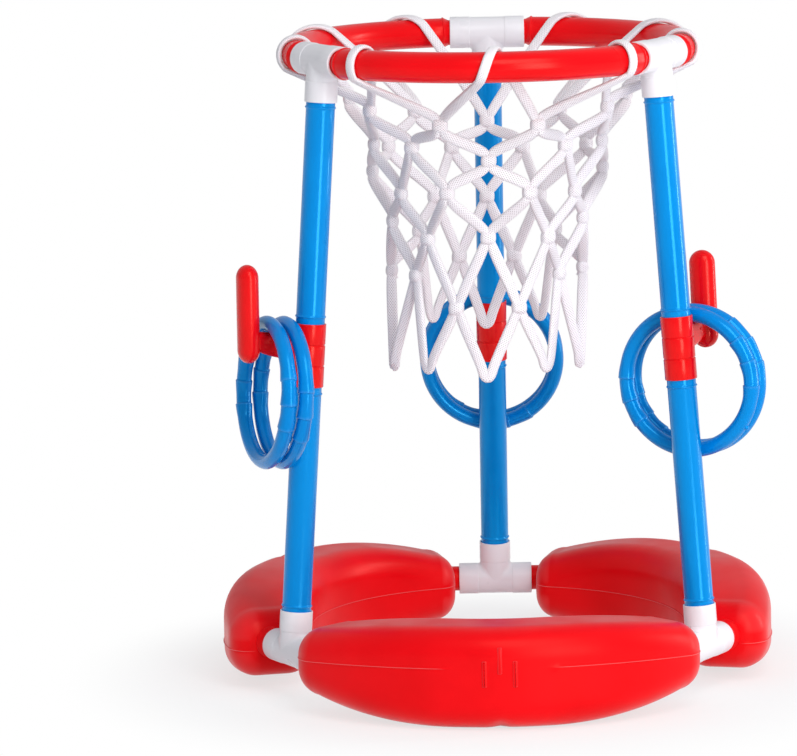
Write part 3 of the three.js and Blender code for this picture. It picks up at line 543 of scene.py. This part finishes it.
# Hook clips. A red sleeve that turns on each leg over the tubes' joint, moulded in one with a short
# arm and an upright peg with round ends that keeps the toss rings on the arm.
CLIP_WALL = 1.2
CLIP_BORE = LEG_RADIUS + FIT_GAP
CLIP_RADIUS = CLIP_BORE + CLIP_WALL
GROOVE = 0.8
ARM_TOP = 22.5
ARM_THICKNESS = 11.0
ARM_AXIS = ARM_TOP - ARM_THICKNESS / 2
ARM_DEPTH = 27.0
ARM_TAPER = 7.0
ARM_EDGE = 5.0
FLARE_LENGTH = 7.0
LEG_FLARE = 3.2
PEG_FLARE = 2.2
PEG_DISTANCE = 64.0
PEG_HEIGHT = 98.0
PEG_BELOW = 9.0
PEG_HALF_WIDTH = 13.5
PEG_HALF_DEPTH = 11.0
PEG_LEAN = math.radians(4.0)
DOT_DISTANCE = 42.0
DOT_DROP = 4.0

red_clip_plastic = plastic(
    "red_clip_plastic", linear(238, 6, 20), linear(228, 2, 14), RED_GLOSS,
    shine=0.9, roughness=0.2, grain_depth=0.00002)


def clip_place(azimuth, hook, clip_share):
    """The middle of a clip's sleeve, with +Z up the leg and +X along the clip's arm."""
    up = Matrix.Translation((0, 0, LEG_SPAN * clip_share))
    return leg_place(azimuth) @ up @ Matrix.Rotation(math.radians(hook - azimuth), 4, "Z")


def groove(centre):
    """A fine groove round the sleeve, as profile points from its upper to its lower edge."""
    floor_radius = CLIP_RADIUS - GROOVE
    return [(CLIP_RADIUS, centre + GROOVE), (floor_radius, centre + GROOVE / 2),
            (floor_radius, centre - GROOVE / 2), (CLIP_RADIUS, centre - GROOVE)]


def rounded_section(x, low, high, half_width, edge):
    """A rounded box across the arm at one distance from the leg."""
    edge = min(edge, half_width * 0.98, (high - low) / 2 * 0.98)
    corners = [(1, 1), (1, -1), (-1, -1), (-1, 1)]
    middle = (low + high) / 2
    half_height = (high - low) / 2
    points = []
    for index, (right, up) in enumerate(corners):
        for k in range(7):
            angle = math.pi / 2 - (index + k / 6) * math.pi / 2
            across = right * (half_width - edge) + edge * math.cos(angle)
            rise = up * (half_height - edge) + edge * math.sin(angle)
            points.append((x, across, middle + rise))
    return points


def clip_form():
    """A sleeve round +Z, an arm along +X that flares at both its ends, and a peg."""
    half = CLIP_LENGTH / 2
    third = CLIP_LENGTH / 6
    sleeve = turned(eased([
        (CLIP_BORE, half), (CLIP_RADIUS, half), *groove(third), *groove(-third),
        (CLIP_RADIUS, -half), (CLIP_BORE, -half),
    ], 0.6, closed=True, steps=3), 72)
    rows = []
    start = CLIP_RADIUS - 1.6
    end = PEG_DISTANCE - 7.0
    level_from = PEG_DISTANCE - PEG_HALF_DEPTH
    for k in range(33):
        x = start + (end - start) * k / 32
        near_leg = max(1 - (x - start) / FLARE_LENGTH, 0.0)
        near_peg = max(1 - (end - x) / FLARE_LENGTH, 0.0)
        flare = LEG_FLARE * (1 - math.sqrt(1 - near_leg ** 2))
        flare += PEG_FLARE * (1 - math.sqrt(1 - near_peg ** 2))
        share = min(max((x - CLIP_RADIUS) / (level_from - CLIP_RADIUS), 0.0), 1.0)
        low = ARM_TOP - ARM_DEPTH + ARM_TAPER * share ** 2
        half_width = ARM_THICKNESS / 2 + flare
        rows.append(rounded_section(x, low - flare, ARM_TOP + flare, half_width, ARM_EDGE))
    arm = skin(rows, capped=True)
    rows = []
    long_half = PEG_HEIGHT / 2 - PEG_HALF_WIDTH
    for k in range(49):
        angle = math.pi * k / 48 - math.pi / 2
        reach = math.cos(angle)
        height = PEG_HALF_WIDTH * math.sin(angle) + math.copysign(long_half, angle)
        if k == 24:
            height = 0.0
        ring = []
        for m in range(48):
            turn = 2 * math.pi * m / 48
            out = PEG_HALF_DEPTH * reach * math.cos(turn)
            ring.append((out, PEG_HALF_WIDTH * reach * math.sin(turn), height))
        rows.append(ring)
    peg = moved(skin(rows), Matrix.Translation((PEG_DISTANCE, 0, ARM_AXIS))
                @ Matrix.Rotation(PEG_LEAN, 4, "Y")
                @ Matrix.Translation((0, 0, PEG_HEIGHT / 2 - PEG_BELOW - ARM_AXIS)))
    dot = eased([(0.0, 0.9), (1.3, 0.7), (1.6, -0.4), (0.0, -0.4)], 0.4)
    dots = []
    for face in (1, -1):
        side_on = Matrix.Translation((DOT_DISTANCE, face * ARM_THICKNESS / 2, ARM_AXIS - DOT_DROP))
        dots.append(moved(turned(dot, 24, loop=False),
                          side_on @ Matrix.Rotation(-face * math.pi / 2, 4, "X")))
    return joined(sleeve, arm, peg, *dots)


for side, (azimuth, hook, clip_share) in SIDES.items():
    place = clip_place(azimuth, hook, clip_share)
    clip = make(f"red_hook_clip_{side}", clip_form(), place, red_clip_plastic)
    fix(clip, f"clip_{side}", "red_plastic", f"hook_clip_{side}")

# Toss rings. Two hollow blue rings hang on each arm, blow-moulded with two opposite groups of three
# low steps that taper off like bamboo joints, a faint seam round them and a small moulding nub.
RING_RADIUS = 68.5
RING_TUBE = 7.5
RING_GAP = 0.5
RING_FROM_LEG = 25.0
RING_PITCH = 17.6
RING_SEAM = 0.18
STEP_ANGLES = (-20.0, 0.0, 20.0)
STEP_GROUP_REACH = 34.0
STEP_TAPER = 13.0
STEP_EDGE = 0.8
NUB_TURN = math.radians(144.0)

# How far the first and second ring on each arm are turned in their own plane, in degrees.
RING_TURNS = {"back": (-104, -80), "left": (-12, -2), "right": (-20, 143)}

blue_ring_plastic = plastic(
    "blue_ring_plastic", linear(0, 134, 216), linear(0, 126, 208), BLUE_GLOSS,
    shine=1.0, roughness=0.18, grain_depth=0.00002)


def ring_swell(angle):
    """How far the tube stands out at an angle round the ring: 1 at the top of each step."""
    swell = 0.0
    for group in (0.0, math.pi):
        apart = math.degrees(math.atan2(math.sin(angle - group), math.cos(angle - group)))
        if abs(apart) < STEP_GROUP_REACH:
            for step_angle in STEP_ANGLES:
                along = math.radians(apart - step_angle) * RING_RADIUS
                taper = 1 - along / STEP_TAPER if along > 0 else 1 + along / STEP_EDGE
                swell = max(swell, taper)
    return swell


def ring_form(turn_deg):
    """A ring that hangs from the origin round +X, turned in its own plane."""
    angles = []
    for step in range(720):
        angle = 2 * math.pi * step / 720
        if step % 4 == 0 or abs(ring_swell(angle + 0.01) - ring_swell(angle - 0.01)) > 0.15:
            angles.append(angle)
    rows = []
    for angle in angles:
        swell = ring_swell(angle)
        ring = []
        for k in range(32):
            across = -2 * math.pi * (k + 0.5) / 32
            seam = RING_SEAM if k in (15, 16, 31, 0) else 0.0
            reach = RING_TUBE + swell + seam
            radius = RING_RADIUS + reach * math.cos(across)
            ring.append((reach * math.sin(across), radius * math.cos(angle), radius * math.sin(angle)))
        rows.append(ring)
    nub = eased([(0.0, 2.6), (1.6, 2.2), (2.6, 0.6), (2.6, -1.5), (0.0, -1.5)], 0.9)
    nub_place = Matrix.Rotation(NUB_TURN, 4, "X") @ Matrix.Translation((0, 0, RING_RADIUS + RING_TUBE))
    form = joined(skin(rows, loop=True), moved(turned(nub, 24, loop=False), nub_place))
    hang = Matrix.Translation((0, 0, ARM_THICKNESS / 2 + RING_GAP + RING_TUBE - RING_RADIUS))
    return moved(form, hang @ Matrix.Rotation(math.radians(turn_deg), 4, "X"))


for side, (azimuth, hook, clip_share) in SIDES.items():
    plumb = math.atan(math.tan(SPLAY) * math.sin(math.radians(hook - azimuth)))
    for order, turn_deg in enumerate(RING_TURNS[side]):
        on_arm = Matrix.Translation((RING_FROM_LEG + order * RING_PITCH, 0, ARM_AXIS))
        place = clip_place(azimuth, hook, clip_share) @ on_arm @ Matrix.Rotation(plumb, 4, "X")
        name = f"blue_toss_ring_{side}_{order + 1}"
        ring = make(name, ring_form(turn_deg), place, blue_ring_plastic)
        fix(ring, f"ring_{side}_{order + 1}", "blue_plastic", f"toss_ring_{side}_{order + 1}")

# Top tees. The same white tees turned over, one at the head of each leg, their runs in the rim.
for side, (azimuth, hook, clip_share) in SIDES.items():
    place = leg_place(azimuth) @ Matrix.Translation((0, 0, LEG_SPAN)) @ Matrix.Rotation(math.pi, 4, "X")
    tee = make(f"white_top_tee_{side}", tee_form(), place, white_tee_plastic)
    fix(tee, "frame", "white_plastic", f"top_tee_{side}")

# Rim tubes. Three curved red tubes make the rim; each narrows to a neck at both ends behind a fine
# bead and pushes into the top tees.
RIM_RADIUS = 195.0
RIM_TUBE = 15.1
RIM_PLAIN_FROM = 14.0
RIM_INSET = RIM_RADIUS - RIM_TEE_RADIUS
BEND_RADIUS = (RIM_RADIUS ** 2 - TEE_HALF_RUN ** 2 - RIM_TEE_RADIUS ** 2) / (2 * RIM_INSET)
BEND_ANGLE = math.atan2(TEE_HALF_RUN, RIM_TEE_RADIUS - BEND_RADIUS)
BEND_LENGTH = BEND_RADIUS * BEND_ANGLE
RIM_ARC = (math.pi / 3 - BEND_ANGLE) * RIM_RADIUS

red_rim_plastic = plastic(
    "red_rim_plastic", RED, DEEP_RED, RED_GLOSS, shine=0.6, roughness=0.24, grain_depth=0.00002)


def rim_line(distance):
    """Place and outward turn of a rim tube's centre line, measured from the middle of its tee."""
    if distance <= TEE_HALF_RUN:
        return RIM_TEE_RADIUS, distance, 0.0
    if distance <= TEE_HALF_RUN + BEND_LENGTH:
        turn = (distance - TEE_HALF_RUN) / BEND_RADIUS
        x = RIM_TEE_RADIUS - BEND_RADIUS + BEND_RADIUS * math.cos(turn)
        return x, TEE_HALF_RUN + BEND_RADIUS * math.sin(turn), turn
    turn = BEND_ANGLE + (distance - TEE_HALF_RUN - BEND_LENGTH) / RIM_RADIUS
    return RIM_RADIUS * math.cos(turn), RIM_RADIUS * math.sin(turn), turn


def rim_ring(distance, radius, from_far_end):
    """Points round a rim tube at a distance from the tee at its near or its far end."""
    x, y, turn = rim_line(distance)
    if from_far_end:
        angle = 2 * math.pi / 3 - math.atan2(y, x)
        x, y = math.hypot(x, y) * math.cos(angle), math.hypot(x, y) * math.sin(angle)
        turn = 2 * math.pi / 3 - turn
    ring = []
    for k in range(48):
        angle = -2 * math.pi * k / 48
        out = radius * math.cos(angle)
        ring.append((x + out * math.cos(turn), y + out * math.sin(turn), radius * math.sin(angle)))
    return ring


def rim_form():
    """A tube bent round +Z from one tee to the next, with a neck and a bead at both ends."""
    mouth = TEE_HALF_RUN
    plain = mouth + RIM_PLAIN_FROM
    profile = eased([
        (NECK_RADIUS, mouth - NECK_INSERT), (NECK_RADIUS, mouth + 1.5), (RIM_TUBE, mouth + 6.0),
        (RIM_TUBE + 0.8, mouth + 7.0), (RIM_TUBE + 1.0, mouth + 7.5), (RIM_TUBE + 0.8, mouth + 8.0),
        (RIM_TUBE, mouth + 9.0), (RIM_TUBE, plain),
    ], 0.7)
    half = [(distance, radius) for radius, distance in profile]
    far = mouth + BEND_LENGTH + RIM_ARC
    half += [(plain + (far - plain) * k / 40, RIM_TUBE) for k in range(1, 40)]
    rows = [rim_ring(distance, radius, False) for distance, radius in half]
    rows += [rim_ring(distance, radius, True) for distance, radius in reversed(half)]
    return skin(rows, capped=True)


for arc, azimuth in (("back_left", 90), ("front", 210), ("back_right", 330)):
    place = Matrix.Translation((0, 0, RISE)) @ Matrix.Rotation(math.radians(azimuth), 4, "Z")
    tube = make(f"red_rim_tube_{arc}", rim_form(), place, red_rim_plastic)
    fix(tube, "frame", "red_plastic", f"rim_tube_{arc}")

# Net. A flat knitted cord of white polyester, looped over the rim and run down in zigzags; where two
# runs meet a tight band of the same cord holds them, and the lowest meshes hang open.
CORD_WIDTH = 11.0
CORD_THICKNESS = 6.0
RIM_CORD_WIDTH = 9.6
RIM_CORD_THICKNESS = 4.4
STITCH = 1.6
STITCH_RISE = 0.2
PINCHED = 6.8
LOOP_GAP = 0.9
LOOP_WIND = (-52.0, 146.0)
BAND_HALF_WIDTH = 6.9
BAND_HALF_DEPTH = 5.0
LEAN = 0.02
PITCH = 40

# Each row's knots from front to back: depth below the rim and distance from the middle. Then each
# open point's distance and depth, by its degrees from the front.
KNOT_DEPTHS = [(62.7, 53.0, 50.0, 71.0, 86.0), (99.4, 88.0, 92.0, 103.5, 110.0),
               (132.0, 138.5, 123.0, 156.0, 160.5), (179.0, 182.0, 170.0, 188.0, 220.0),
               (250.0, 222.5, 224.5)]
KNOT_RADII = [(140.0, 136.0, 142.0, 115.0, 128.0), (118.0, 118.0, 116.0, 116.0, 106.0),
              (119.0, 100.0, 118.0, 83.0, 92.0), (93.0, 93.0, 97.0, 80.0, 82.0),
              (91.0, 83.0, 98.0)]
POINTS = {0: (90.0, 318.4), 40: (92.0, 312.0), 80: (95.0, 316.5),
          140: (85.0, 280.0), 180: (85.0, 290.0)}

# For each column of the net: where its loop crosses the rim, and how far it leans along it.
LOOPS = {-160: (-151.5, -25.0), -120: (-112.0, -30.0), -80: (-80.0, -10.0), -40: (-39.5, 0.0),
         0: (0.0, 10.0), 40: (41.0, 0.0), 80: (80.0, 10.0), 120: (112.0, 30.0), 160: (151.5, 25.0)}


def math_node(tree, operation, first, second=0.0):
    """A sum in a material, from numbers or other nodes' outputs."""
    node = tree.nodes.new("ShaderNodeMath")
    node.operation = operation
    for socket, value in zip(node.inputs, (first, second)):
        if isinstance(value, (int, float)):
            socket.default_value = value
        else:
            tree.links.new(value, socket)
    return node.outputs["Value"]


def cord_material():
    """Knitted cord: rows of small stitches, painted shade in the pinholes between them, and a soft
    sheen.
    """
    material = bpy.data.materials.new("white_knitted_cord")
    material.use_nodes = True
    tree = material.node_tree
    nodes = tree.nodes
    links = tree.links
    shader = nodes["Principled BSDF"]
    split = nodes.new("ShaderNodeSeparateXYZ")
    links.new(nodes.new("ShaderNodeUVMap").outputs["UV"], split.inputs["Vector"])
    across = math_node(tree, "COSINE", math_node(tree, "MULTIPLY", split.outputs["X"], math.pi))
    along = math_node(tree, "COSINE", math_node(tree, "MULTIPLY", split.outputs["Y"], math.pi))
    wave = math_node(tree, "MULTIPLY", across, along)
    stitch = math_node(tree, "ADD", math_node(tree, "MULTIPLY", wave, 0.5), 0.5)
    # The low places between stitches are painted darker: painted shade in the pinholes.
    colour = nodes.new("ShaderNodeValToRGB")
    colour.color_ramp.elements[0].position = 0.06
    colour.color_ramp.elements[0].color = linear(180, 167, 175)
    colour.color_ramp.elements[1].position = 0.40
    colour.color_ramp.elements[1].color = linear(254, 252, 254)
    links.new(stitch, colour.inputs["Fac"])
    soil = nodes.new("ShaderNodeMix")
    soil.data_type = "RGBA"
    soil.blend_type = "MULTIPLY"
    soil.inputs["B"].default_value = linear(250, 246, 249)
    links.new(noise(tree, scale=60.0, detail=4.0), soil.inputs["Factor"])
    links.new(colour.outputs["Color"], soil.inputs["A"])
    links.new(soil.outputs["Result"], shader.inputs["Base Color"])
    bump = nodes.new("ShaderNodeBump")
    bump.inputs["Strength"].default_value = 0.6
    bump.inputs["Distance"].default_value = 0.0004
    links.new(stitch, bump.inputs["Height"])
    links.new(bump.outputs["Normal"], shader.inputs["Normal"])
    shader.inputs["Roughness"].default_value = 0.8
    shader.inputs["Sheen Weight"].default_value = 0.5
    shader.inputs["Sheen Roughness"].default_value = 0.5
    return material


white_knitted_cord = cord_material()


def on_net(azimuth_deg, radius, depth):
    """A place by degrees from the front, distance from the net's middle and depth."""
    azimuth = math.radians(azimuth_deg)
    x = radius * math.sin(azimuth) - LEAN * depth
    return np.array([x, -radius * math.cos(azimuth), RISE - depth])


def net_knots():
    """Every knot by row and azimuth: its azimuth, distance from the middle and depth."""
    knots = {}
    for row, (depths, radii) in enumerate(zip(KNOT_DEPTHS, KNOT_RADII)):
        first = PITCH // 2 if row % 2 == 0 else 0
        for order, (depth, radius) in enumerate(zip(depths, radii)):
            for azimuth in {first + order * PITCH, -first - order * PITCH}:
                knots[row, azimuth % 360] = (azimuth, radius, depth)
    for around, (radius, depth) in POINTS.items():
        for azimuth in {around, -around}:
            knots[5, azimuth % 360] = (azimuth, radius, depth)
    return knots


KNOTS = net_knots()


def outward(azimuth_deg, rise=0.0):
    """A direction out from the net's middle, raised by an angle."""
    azimuth = math.radians(azimuth_deg)
    level = math.cos(rise)
    return np.array([math.sin(azimuth) * level, -math.cos(azimuth) * level, math.sin(rise)])


def facing(azimuth_deg):
    """The way a slack cord's flat face lies: outward at front and back, twisted at the sides."""
    return outward(45.0 * math.sin(2 * math.radians(azimuth_deg)))


def run_through(key, side, downward):
    """Points of a cord through one half of a knot: place, face, width and thickness there."""
    azimuth, radius, depth = KNOTS[key]
    stops = [(3.6, 9.0, CORD_WIDTH, CORD_THICKNESS), (3.1, 3.0, PINCHED, CORD_THICKNESS - 0.6),
             (3.1, -3.0, PINCHED, CORD_THICKNESS - 0.6), (3.6, -9.0, CORD_WIDTH, CORD_THICKNESS)]
    points = []
    for across, up, width, thickness in stops if downward else reversed(stops):
        where = azimuth + math.degrees(side * across / radius)
        points.append((on_net(where, radius, depth - up), facing(where), width, thickness))
    return points


def over_rim(column):
    """Points of the loop that carries a cord over the rim, from outside below to inside below."""
    azimuth, lean = LOOPS[column]
    points = []
    for k in range(13):
        wind = math.radians(LOOP_WIND[0] + (LOOP_WIND[1] - LOOP_WIND[0]) * k / 12)
        where = azimuth + math.degrees(lean * (2 * k / 12 - 1) / RIM_RADIUS)
        from_tee = abs((where + 360.0) % 120.0 - 60.0)
        offset = max(BEND_ANGLE - math.radians(from_tee), 0.0)
        centre = RIM_RADIUS - BEND_RADIUS
        aside = centre * math.sin(offset)
        reach = centre * math.cos(offset) + math.sqrt(BEND_RADIUS ** 2 - aside ** 2)
        distance = RIM_TUBE + LOOP_GAP + RIM_CORD_THICKNESS / 2
        place = on_net(where, reach + distance * math.cos(wind), 0.0)
        place[2] += distance * math.sin(wind)
        points.append((place, outward(where, wind), RIM_CORD_WIDTH, RIM_CORD_THICKNESS))
    return points


def half_run(column, side):
    """One zigzag from the rim down to the lowest knot of a column, on its left or right."""
    points = []
    for row in range(5):
        if row % 2 == 0:
            key = (row, (column + side * PITCH // 2) % 360)
            half = -side
        else:
            key = (row, column % 360)
            half = side
        if key in KNOTS:
            points += run_through(key, half, True)
    return points


def whole_run(column):
    """Up one side of a column, over the rim and down its other side, from -X round to +X."""
    left = list(reversed(half_run(column, -1)))
    right = half_run(column, 1)
    loop = over_rim(column)
    if column < 0:
        loop.reverse()
    return left + loop + right


def point_turn(key):
    """The bottom of an open mesh, where a cord turns round on itself."""
    azimuth, radius, depth = KNOTS[key]
    width = CORD_WIDTH - 1.0
    thickness = CORD_THICKNESS - 1.0
    points = []
    for across, up in ((-6.6, 12.0), (-4.3, 3.0), (-1.6, -1.6), (1.6, -1.6), (4.3, 3.0), (6.6, 12.0)):
        where = azimuth + math.degrees(across / radius)
        points.append((on_net(where, radius, depth - up), facing(where), width, thickness))
    return points


def cord_outline(steps):
    """Directions round a cord's rounded flat section, spread evenly along its edge."""
    angles = np.linspace(0, 2 * math.pi, 721)
    across = np.sign(np.cos(angles)) * np.abs(np.cos(angles)) ** 0.75
    deep = np.sign(np.sin(angles)) * np.abs(np.sin(angles)) ** 0.75
    edge = np.hypot(np.diff(across * CORD_WIDTH / 2), np.diff(deep * CORD_THICKNESS / 2))
    along = np.concatenate([[0.0], np.cumsum(edge)])
    spots = along[-1] * np.arange(steps) / steps
    return np.interp(spots, along, across), np.interp(spots, along, deep)


def stitched(rings, around):
    """A skin over rings of stitches, with each point's stitch counts as its coordinates."""
    points, faces = skin(rings, capped=True)
    coordinates = []
    for face in faces[:-2]:
        row = face[0] // around
        k = face[0] % around
        coordinates += [(k, row), (k + 1, row), (k + 1, row + 1), (k, row + 1)]
    coordinates += [(0.0, 0.0)] * (2 * around)
    return points, faces, coordinates


def cord_form(points):
    """A flat cord swept along smoothed points, its stitches spaced evenly."""
    path = []
    for place, face, width, thickness in points:
        path.append(np.concatenate([place, face, [width, thickness]]))
    for before, here in zip(path, path[1:]):
        if before[3:6] @ here[3:6] < 0:
            here[3:6] *= -1
    path = np.array(path)
    for _ in range(3):
        cut = np.stack([path[:-1] * 0.75 + path[1:] * 0.25, path[:-1] * 0.25 + path[1:] * 0.75], axis=1)
        path = np.concatenate([path[:1], cut.reshape(-1, 8)[1:-1], path[-1:]])
    steps = np.linalg.norm(np.diff(path[:, :3], axis=0), axis=1)
    lengths = np.concatenate([[0.0], np.cumsum(steps)])
    count = int(lengths[-1] / STITCH)
    spots = np.linspace(0, lengths[-1], count)
    path = np.stack([np.interp(spots, lengths, path[:, c]) for c in range(8)], axis=1)
    centre = path[:, :3]
    tangent = np.gradient(centre, axis=0)
    tangent /= np.linalg.norm(tangent, axis=1)[:, None]
    normal = path[:, 3:6] - (path[:, 3:6] * tangent).sum(1)[:, None] * tangent
    normal /= np.linalg.norm(normal, axis=1)[:, None]
    sideways = np.cross(tangent, normal)
    around = 22
    across, deep = cord_outline(around)
    order = np.arange(count)[:, None] + np.arange(around)
    by_turns = np.where(order % 2, -STITCH_RISE, STITCH_RISE)
    reach_across = across * (path[:, 6:7] / 2) + by_turns * across
    reach_deep = deep * (path[:, 7:8] / 2) + by_turns * deep
    rings = centre[:, None] + sideways[:, None] * reach_across[..., None]
    rings = rings + normal[:, None] * reach_deep[..., None]
    return stitched(rings, around)


def knot_band(key, seed):
    """The tight band round the two runs of a knot, a little crooked, with barrel-shaped sides."""
    azimuth, radius, depth = KNOTS[key]
    rng = np.random.default_rng(seed)
    tilt = rng.uniform(-0.12, 0.12)
    height = rng.uniform(11.0, 12.6)
    around = 28
    rows = 11
    rings = []
    for row in range(rows):
        share = row / (rows - 1) - 0.5
        swell = 1.1 - 2.2 * abs(share * 2) ** 3
        ring = []
        for k in range(around):
            angle = 2 * math.pi * k / around
            c, s = math.cos(angle), math.sin(angle)
            rise = swell + (STITCH_RISE if (row + k) % 2 == 0 else -STITCH_RISE)
            across = math.copysign(abs(c) ** 0.8, c) * (BAND_HALF_WIDTH + rise * 0.7)
            deep = math.copysign(abs(s) ** 0.8, s) * (BAND_HALF_DEPTH + rise)
            where = azimuth + math.degrees(across / radius)
            ring.append(on_net(where, radius + deep, depth - share * height - tilt * across))
        rings.append(ring)
    return stitched(rings, around)


net_parts = []
for column in (-80, -40, 0, 40, 80):
    cord = whole_run(column) + list(reversed(point_turn((5, column % 360))))
    net_parts.append(cord_form(cord[1:] + cord[:3]))
chain = []
for column, after in ((120, 140), (160, 180), (-160, 220), (-120, None)):
    chain += whole_run(column)
    if after:
        chain += point_turn((5, after))
net_parts.append(cord_form(chain))
for number, key in enumerate(sorted(KNOTS)):
    if key[0] < 5:
        net_parts.append(knot_band(key, number))

net_points, net_faces = joined(*[(points, faces) for points, faces, uvs in net_parts])
net_uvs = [uv for points, faces, uvs in net_parts for uv in uvs]
net_mesh = bpy.data.meshes.new("knitted_cord_net")
net_mesh.from_pydata(net_points, [], net_faces)
net_mesh.transform(METRES)
layer = net_mesh.uv_layers.new(name="stitches")
layer.data.foreach_set("uv", np.array(net_uvs, np.float32).ravel())
net_mesh.shade_smooth()
net_mesh.materials.append(white_knitted_cord)
fix(in_scene("knitted_cord_net", net_mesh), "frame", "white_cord", "net")

# Floor, light and camera. A plain white floor, a pale surround, a wide soft lamp above, a tall one
# in front and a narrow one at the right for upright highlights, and a camera far in front.
FLOOR_SHADE_REACH = (0.28, 0.46)
MIRRORED_SHARE = 0.2


def sees_white(tree, mirrored_share):
    """1 for camera rays and rays through glass, and a share for mirror rays."""
    rays = tree.nodes.new("ShaderNodeLightPath")
    seen = rays.outputs["Is Camera Ray"]
    for kind, part in (("Is Glossy Ray", mirrored_share), ("Is Transmission Ray", 1.0)):
        weighed = math_node(tree, "MULTIPLY", rays.outputs[kind], part)
        seen = math_node(tree, "MAXIMUM", seen, weighed)
    return seen


floor_mesh = bpy.data.meshes.new("floor")
floor_mesh.from_pydata([(-30, -30, 0), (30, -30, 0), (30, 30, 0), (-30, 30, 0)], [], [(0, 1, 2, 3)])
floor = in_scene("floor", floor_mesh)
floor.location.z = -0.0004
floor_material = bpy.data.materials.new("white_floor")
floor_material.use_nodes = True
tree = floor_material.node_tree
nodes = tree.nodes
links = tree.links
nodes.clear()
diffuse = nodes.new("ShaderNodeBsdfDiffuse")
diffuse.inputs["Color"].default_value = (0.92, 0.92, 0.93, 1.0)
glow = nodes.new("ShaderNodeEmission")
glow.inputs["Color"].default_value = (1.0, 1.0, 1.0, 1.0)
spot = nodes.new("ShaderNodeTexCoord")
distance = nodes.new("ShaderNodeVectorMath")
distance.operation = "LENGTH"
links.new(spot.outputs["Object"], distance.inputs[0])
fade = mapped(tree, distance.outputs["Value"], FLOOR_SHADE_REACH, (0.70, 1.0))
fade.interpolation_type = "SMOOTHSTEP"
glow_share = math_node(tree, "MULTIPLY", fade.outputs["Result"], sees_white(tree, 1.0))
mixed = nodes.new("ShaderNodeMixShader")
links.new(glow_share, mixed.inputs["Fac"])
links.new(diffuse.outputs["BSDF"], mixed.inputs[1])
links.new(glow.outputs["Emission"], mixed.inputs[2])
links.new(mixed.outputs["Shader"], nodes.new("ShaderNodeOutputMaterial").inputs["Surface"])
floor_mesh.materials.append(floor_material)

world = bpy.data.worlds.new("pale_surround")
bpy.context.scene.world = world
world.use_nodes = True
tree = world.node_tree
nodes = tree.nodes
links = tree.links
nodes.clear()
lit = nodes.new("ShaderNodeBackground")
lit.inputs["Color"].default_value = (0.93, 0.96, 1.0, 1.0)
lit.inputs["Strength"].default_value = 0.48
white = nodes.new("ShaderNodeBackground")
white.inputs["Strength"].default_value = 1.0
white.inputs["Color"].default_value = (1.0, 1.0, 1.0, 1.0)
both = nodes.new("ShaderNodeMixShader")
links.new(sees_white(tree, MIRRORED_SHARE), both.inputs["Fac"])
links.new(lit.outputs["Background"], both.inputs[1])
links.new(white.outputs["Background"], both.inputs[2])
links.new(both.outputs["Shader"], nodes.new("ShaderNodeOutputWorld").inputs["Surface"])


def area_lamp(name, place, target, width, height, power):
    """A rectangular lamp that faces a target, in metres and watts."""
    lamp = bpy.data.lights.new(name, "AREA")
    lamp.shape = "RECTANGLE"
    lamp.size = width
    lamp.size_y = height
    lamp.energy = power
    holder = in_scene(name, lamp)
    holder.location = place
    holder.rotation_euler = (Vector(target) - Vector(place)).to_track_quat("-Z", "Y").to_euler()


area_lamp("soft_key", (0.6, -2.0, 2.5), (0.0, 0.0, 0.2), width=1.4, height=1.4, power=28.0)
area_lamp("tall_strip", (1.25, -2.7, 0.8), (0.0, 0.0, 0.35), width=0.9, height=2.2, power=42.0)
area_lamp("edge_strip", (2.5, 0.3, 0.8), (0.0, 0.0, 0.35), width=0.24, height=2.0, power=18.0)

# The camera's place and turns, in millimetres and radians, fitted to the object's main places.
CAMERA_DISTANCE = 5003.93
CAMERA_HEIGHT = 1052.72
CAMERA_PITCH = 0.15801
CAMERA_ROLL = 0.01902
CAMERA_YAW = -0.01342
CAMERA_ASIDE = -96.22
FOCAL_PIXELS = 5000.0
IMAGE_WIDTH = 797
SENSOR_WIDTH = 36.0

camera_data = bpy.data.cameras.new("camera")
camera_data.sensor_fit = "HORIZONTAL"
camera_data.sensor_width = SENSOR_WIDTH
camera_data.lens = SENSOR_WIDTH * FOCAL_PIXELS / IMAGE_WIDTH
camera_data.clip_end = 100.0
camera = in_scene("camera", camera_data)
turn_cos, turn_sin = math.cos(CAMERA_YAW), math.sin(CAMERA_YAW)
right = Vector((turn_cos, -turn_sin, 0.0))
pitch_cos, pitch_sin = math.cos(CAMERA_PITCH), math.sin(CAMERA_PITCH)
forward = Vector((turn_sin * pitch_cos, turn_cos * pitch_cos, -pitch_sin))
up = Vector((turn_sin * pitch_sin, turn_cos * pitch_sin, pitch_cos))
rolled_right = right * math.cos(CAMERA_ROLL) - up * math.sin(CAMERA_ROLL)
rolled_up = right * math.sin(CAMERA_ROLL) + up * math.cos(CAMERA_ROLL)
eye = METRES @ Vector((
    turn_cos * CAMERA_ASIDE - turn_sin * CAMERA_DISTANCE,
    -turn_sin * CAMERA_ASIDE - turn_cos * CAMERA_DISTANCE,
    CAMERA_HEIGHT,
))
axes = Matrix((rolled_right, rolled_up, -forward)).transposed().to_4x4()
camera.matrix_world = Matrix.Translation(eye) @ axes
bpy.context.scene.camera = camera
bpy.context.scene.view_settings.view_transform = "Standard"
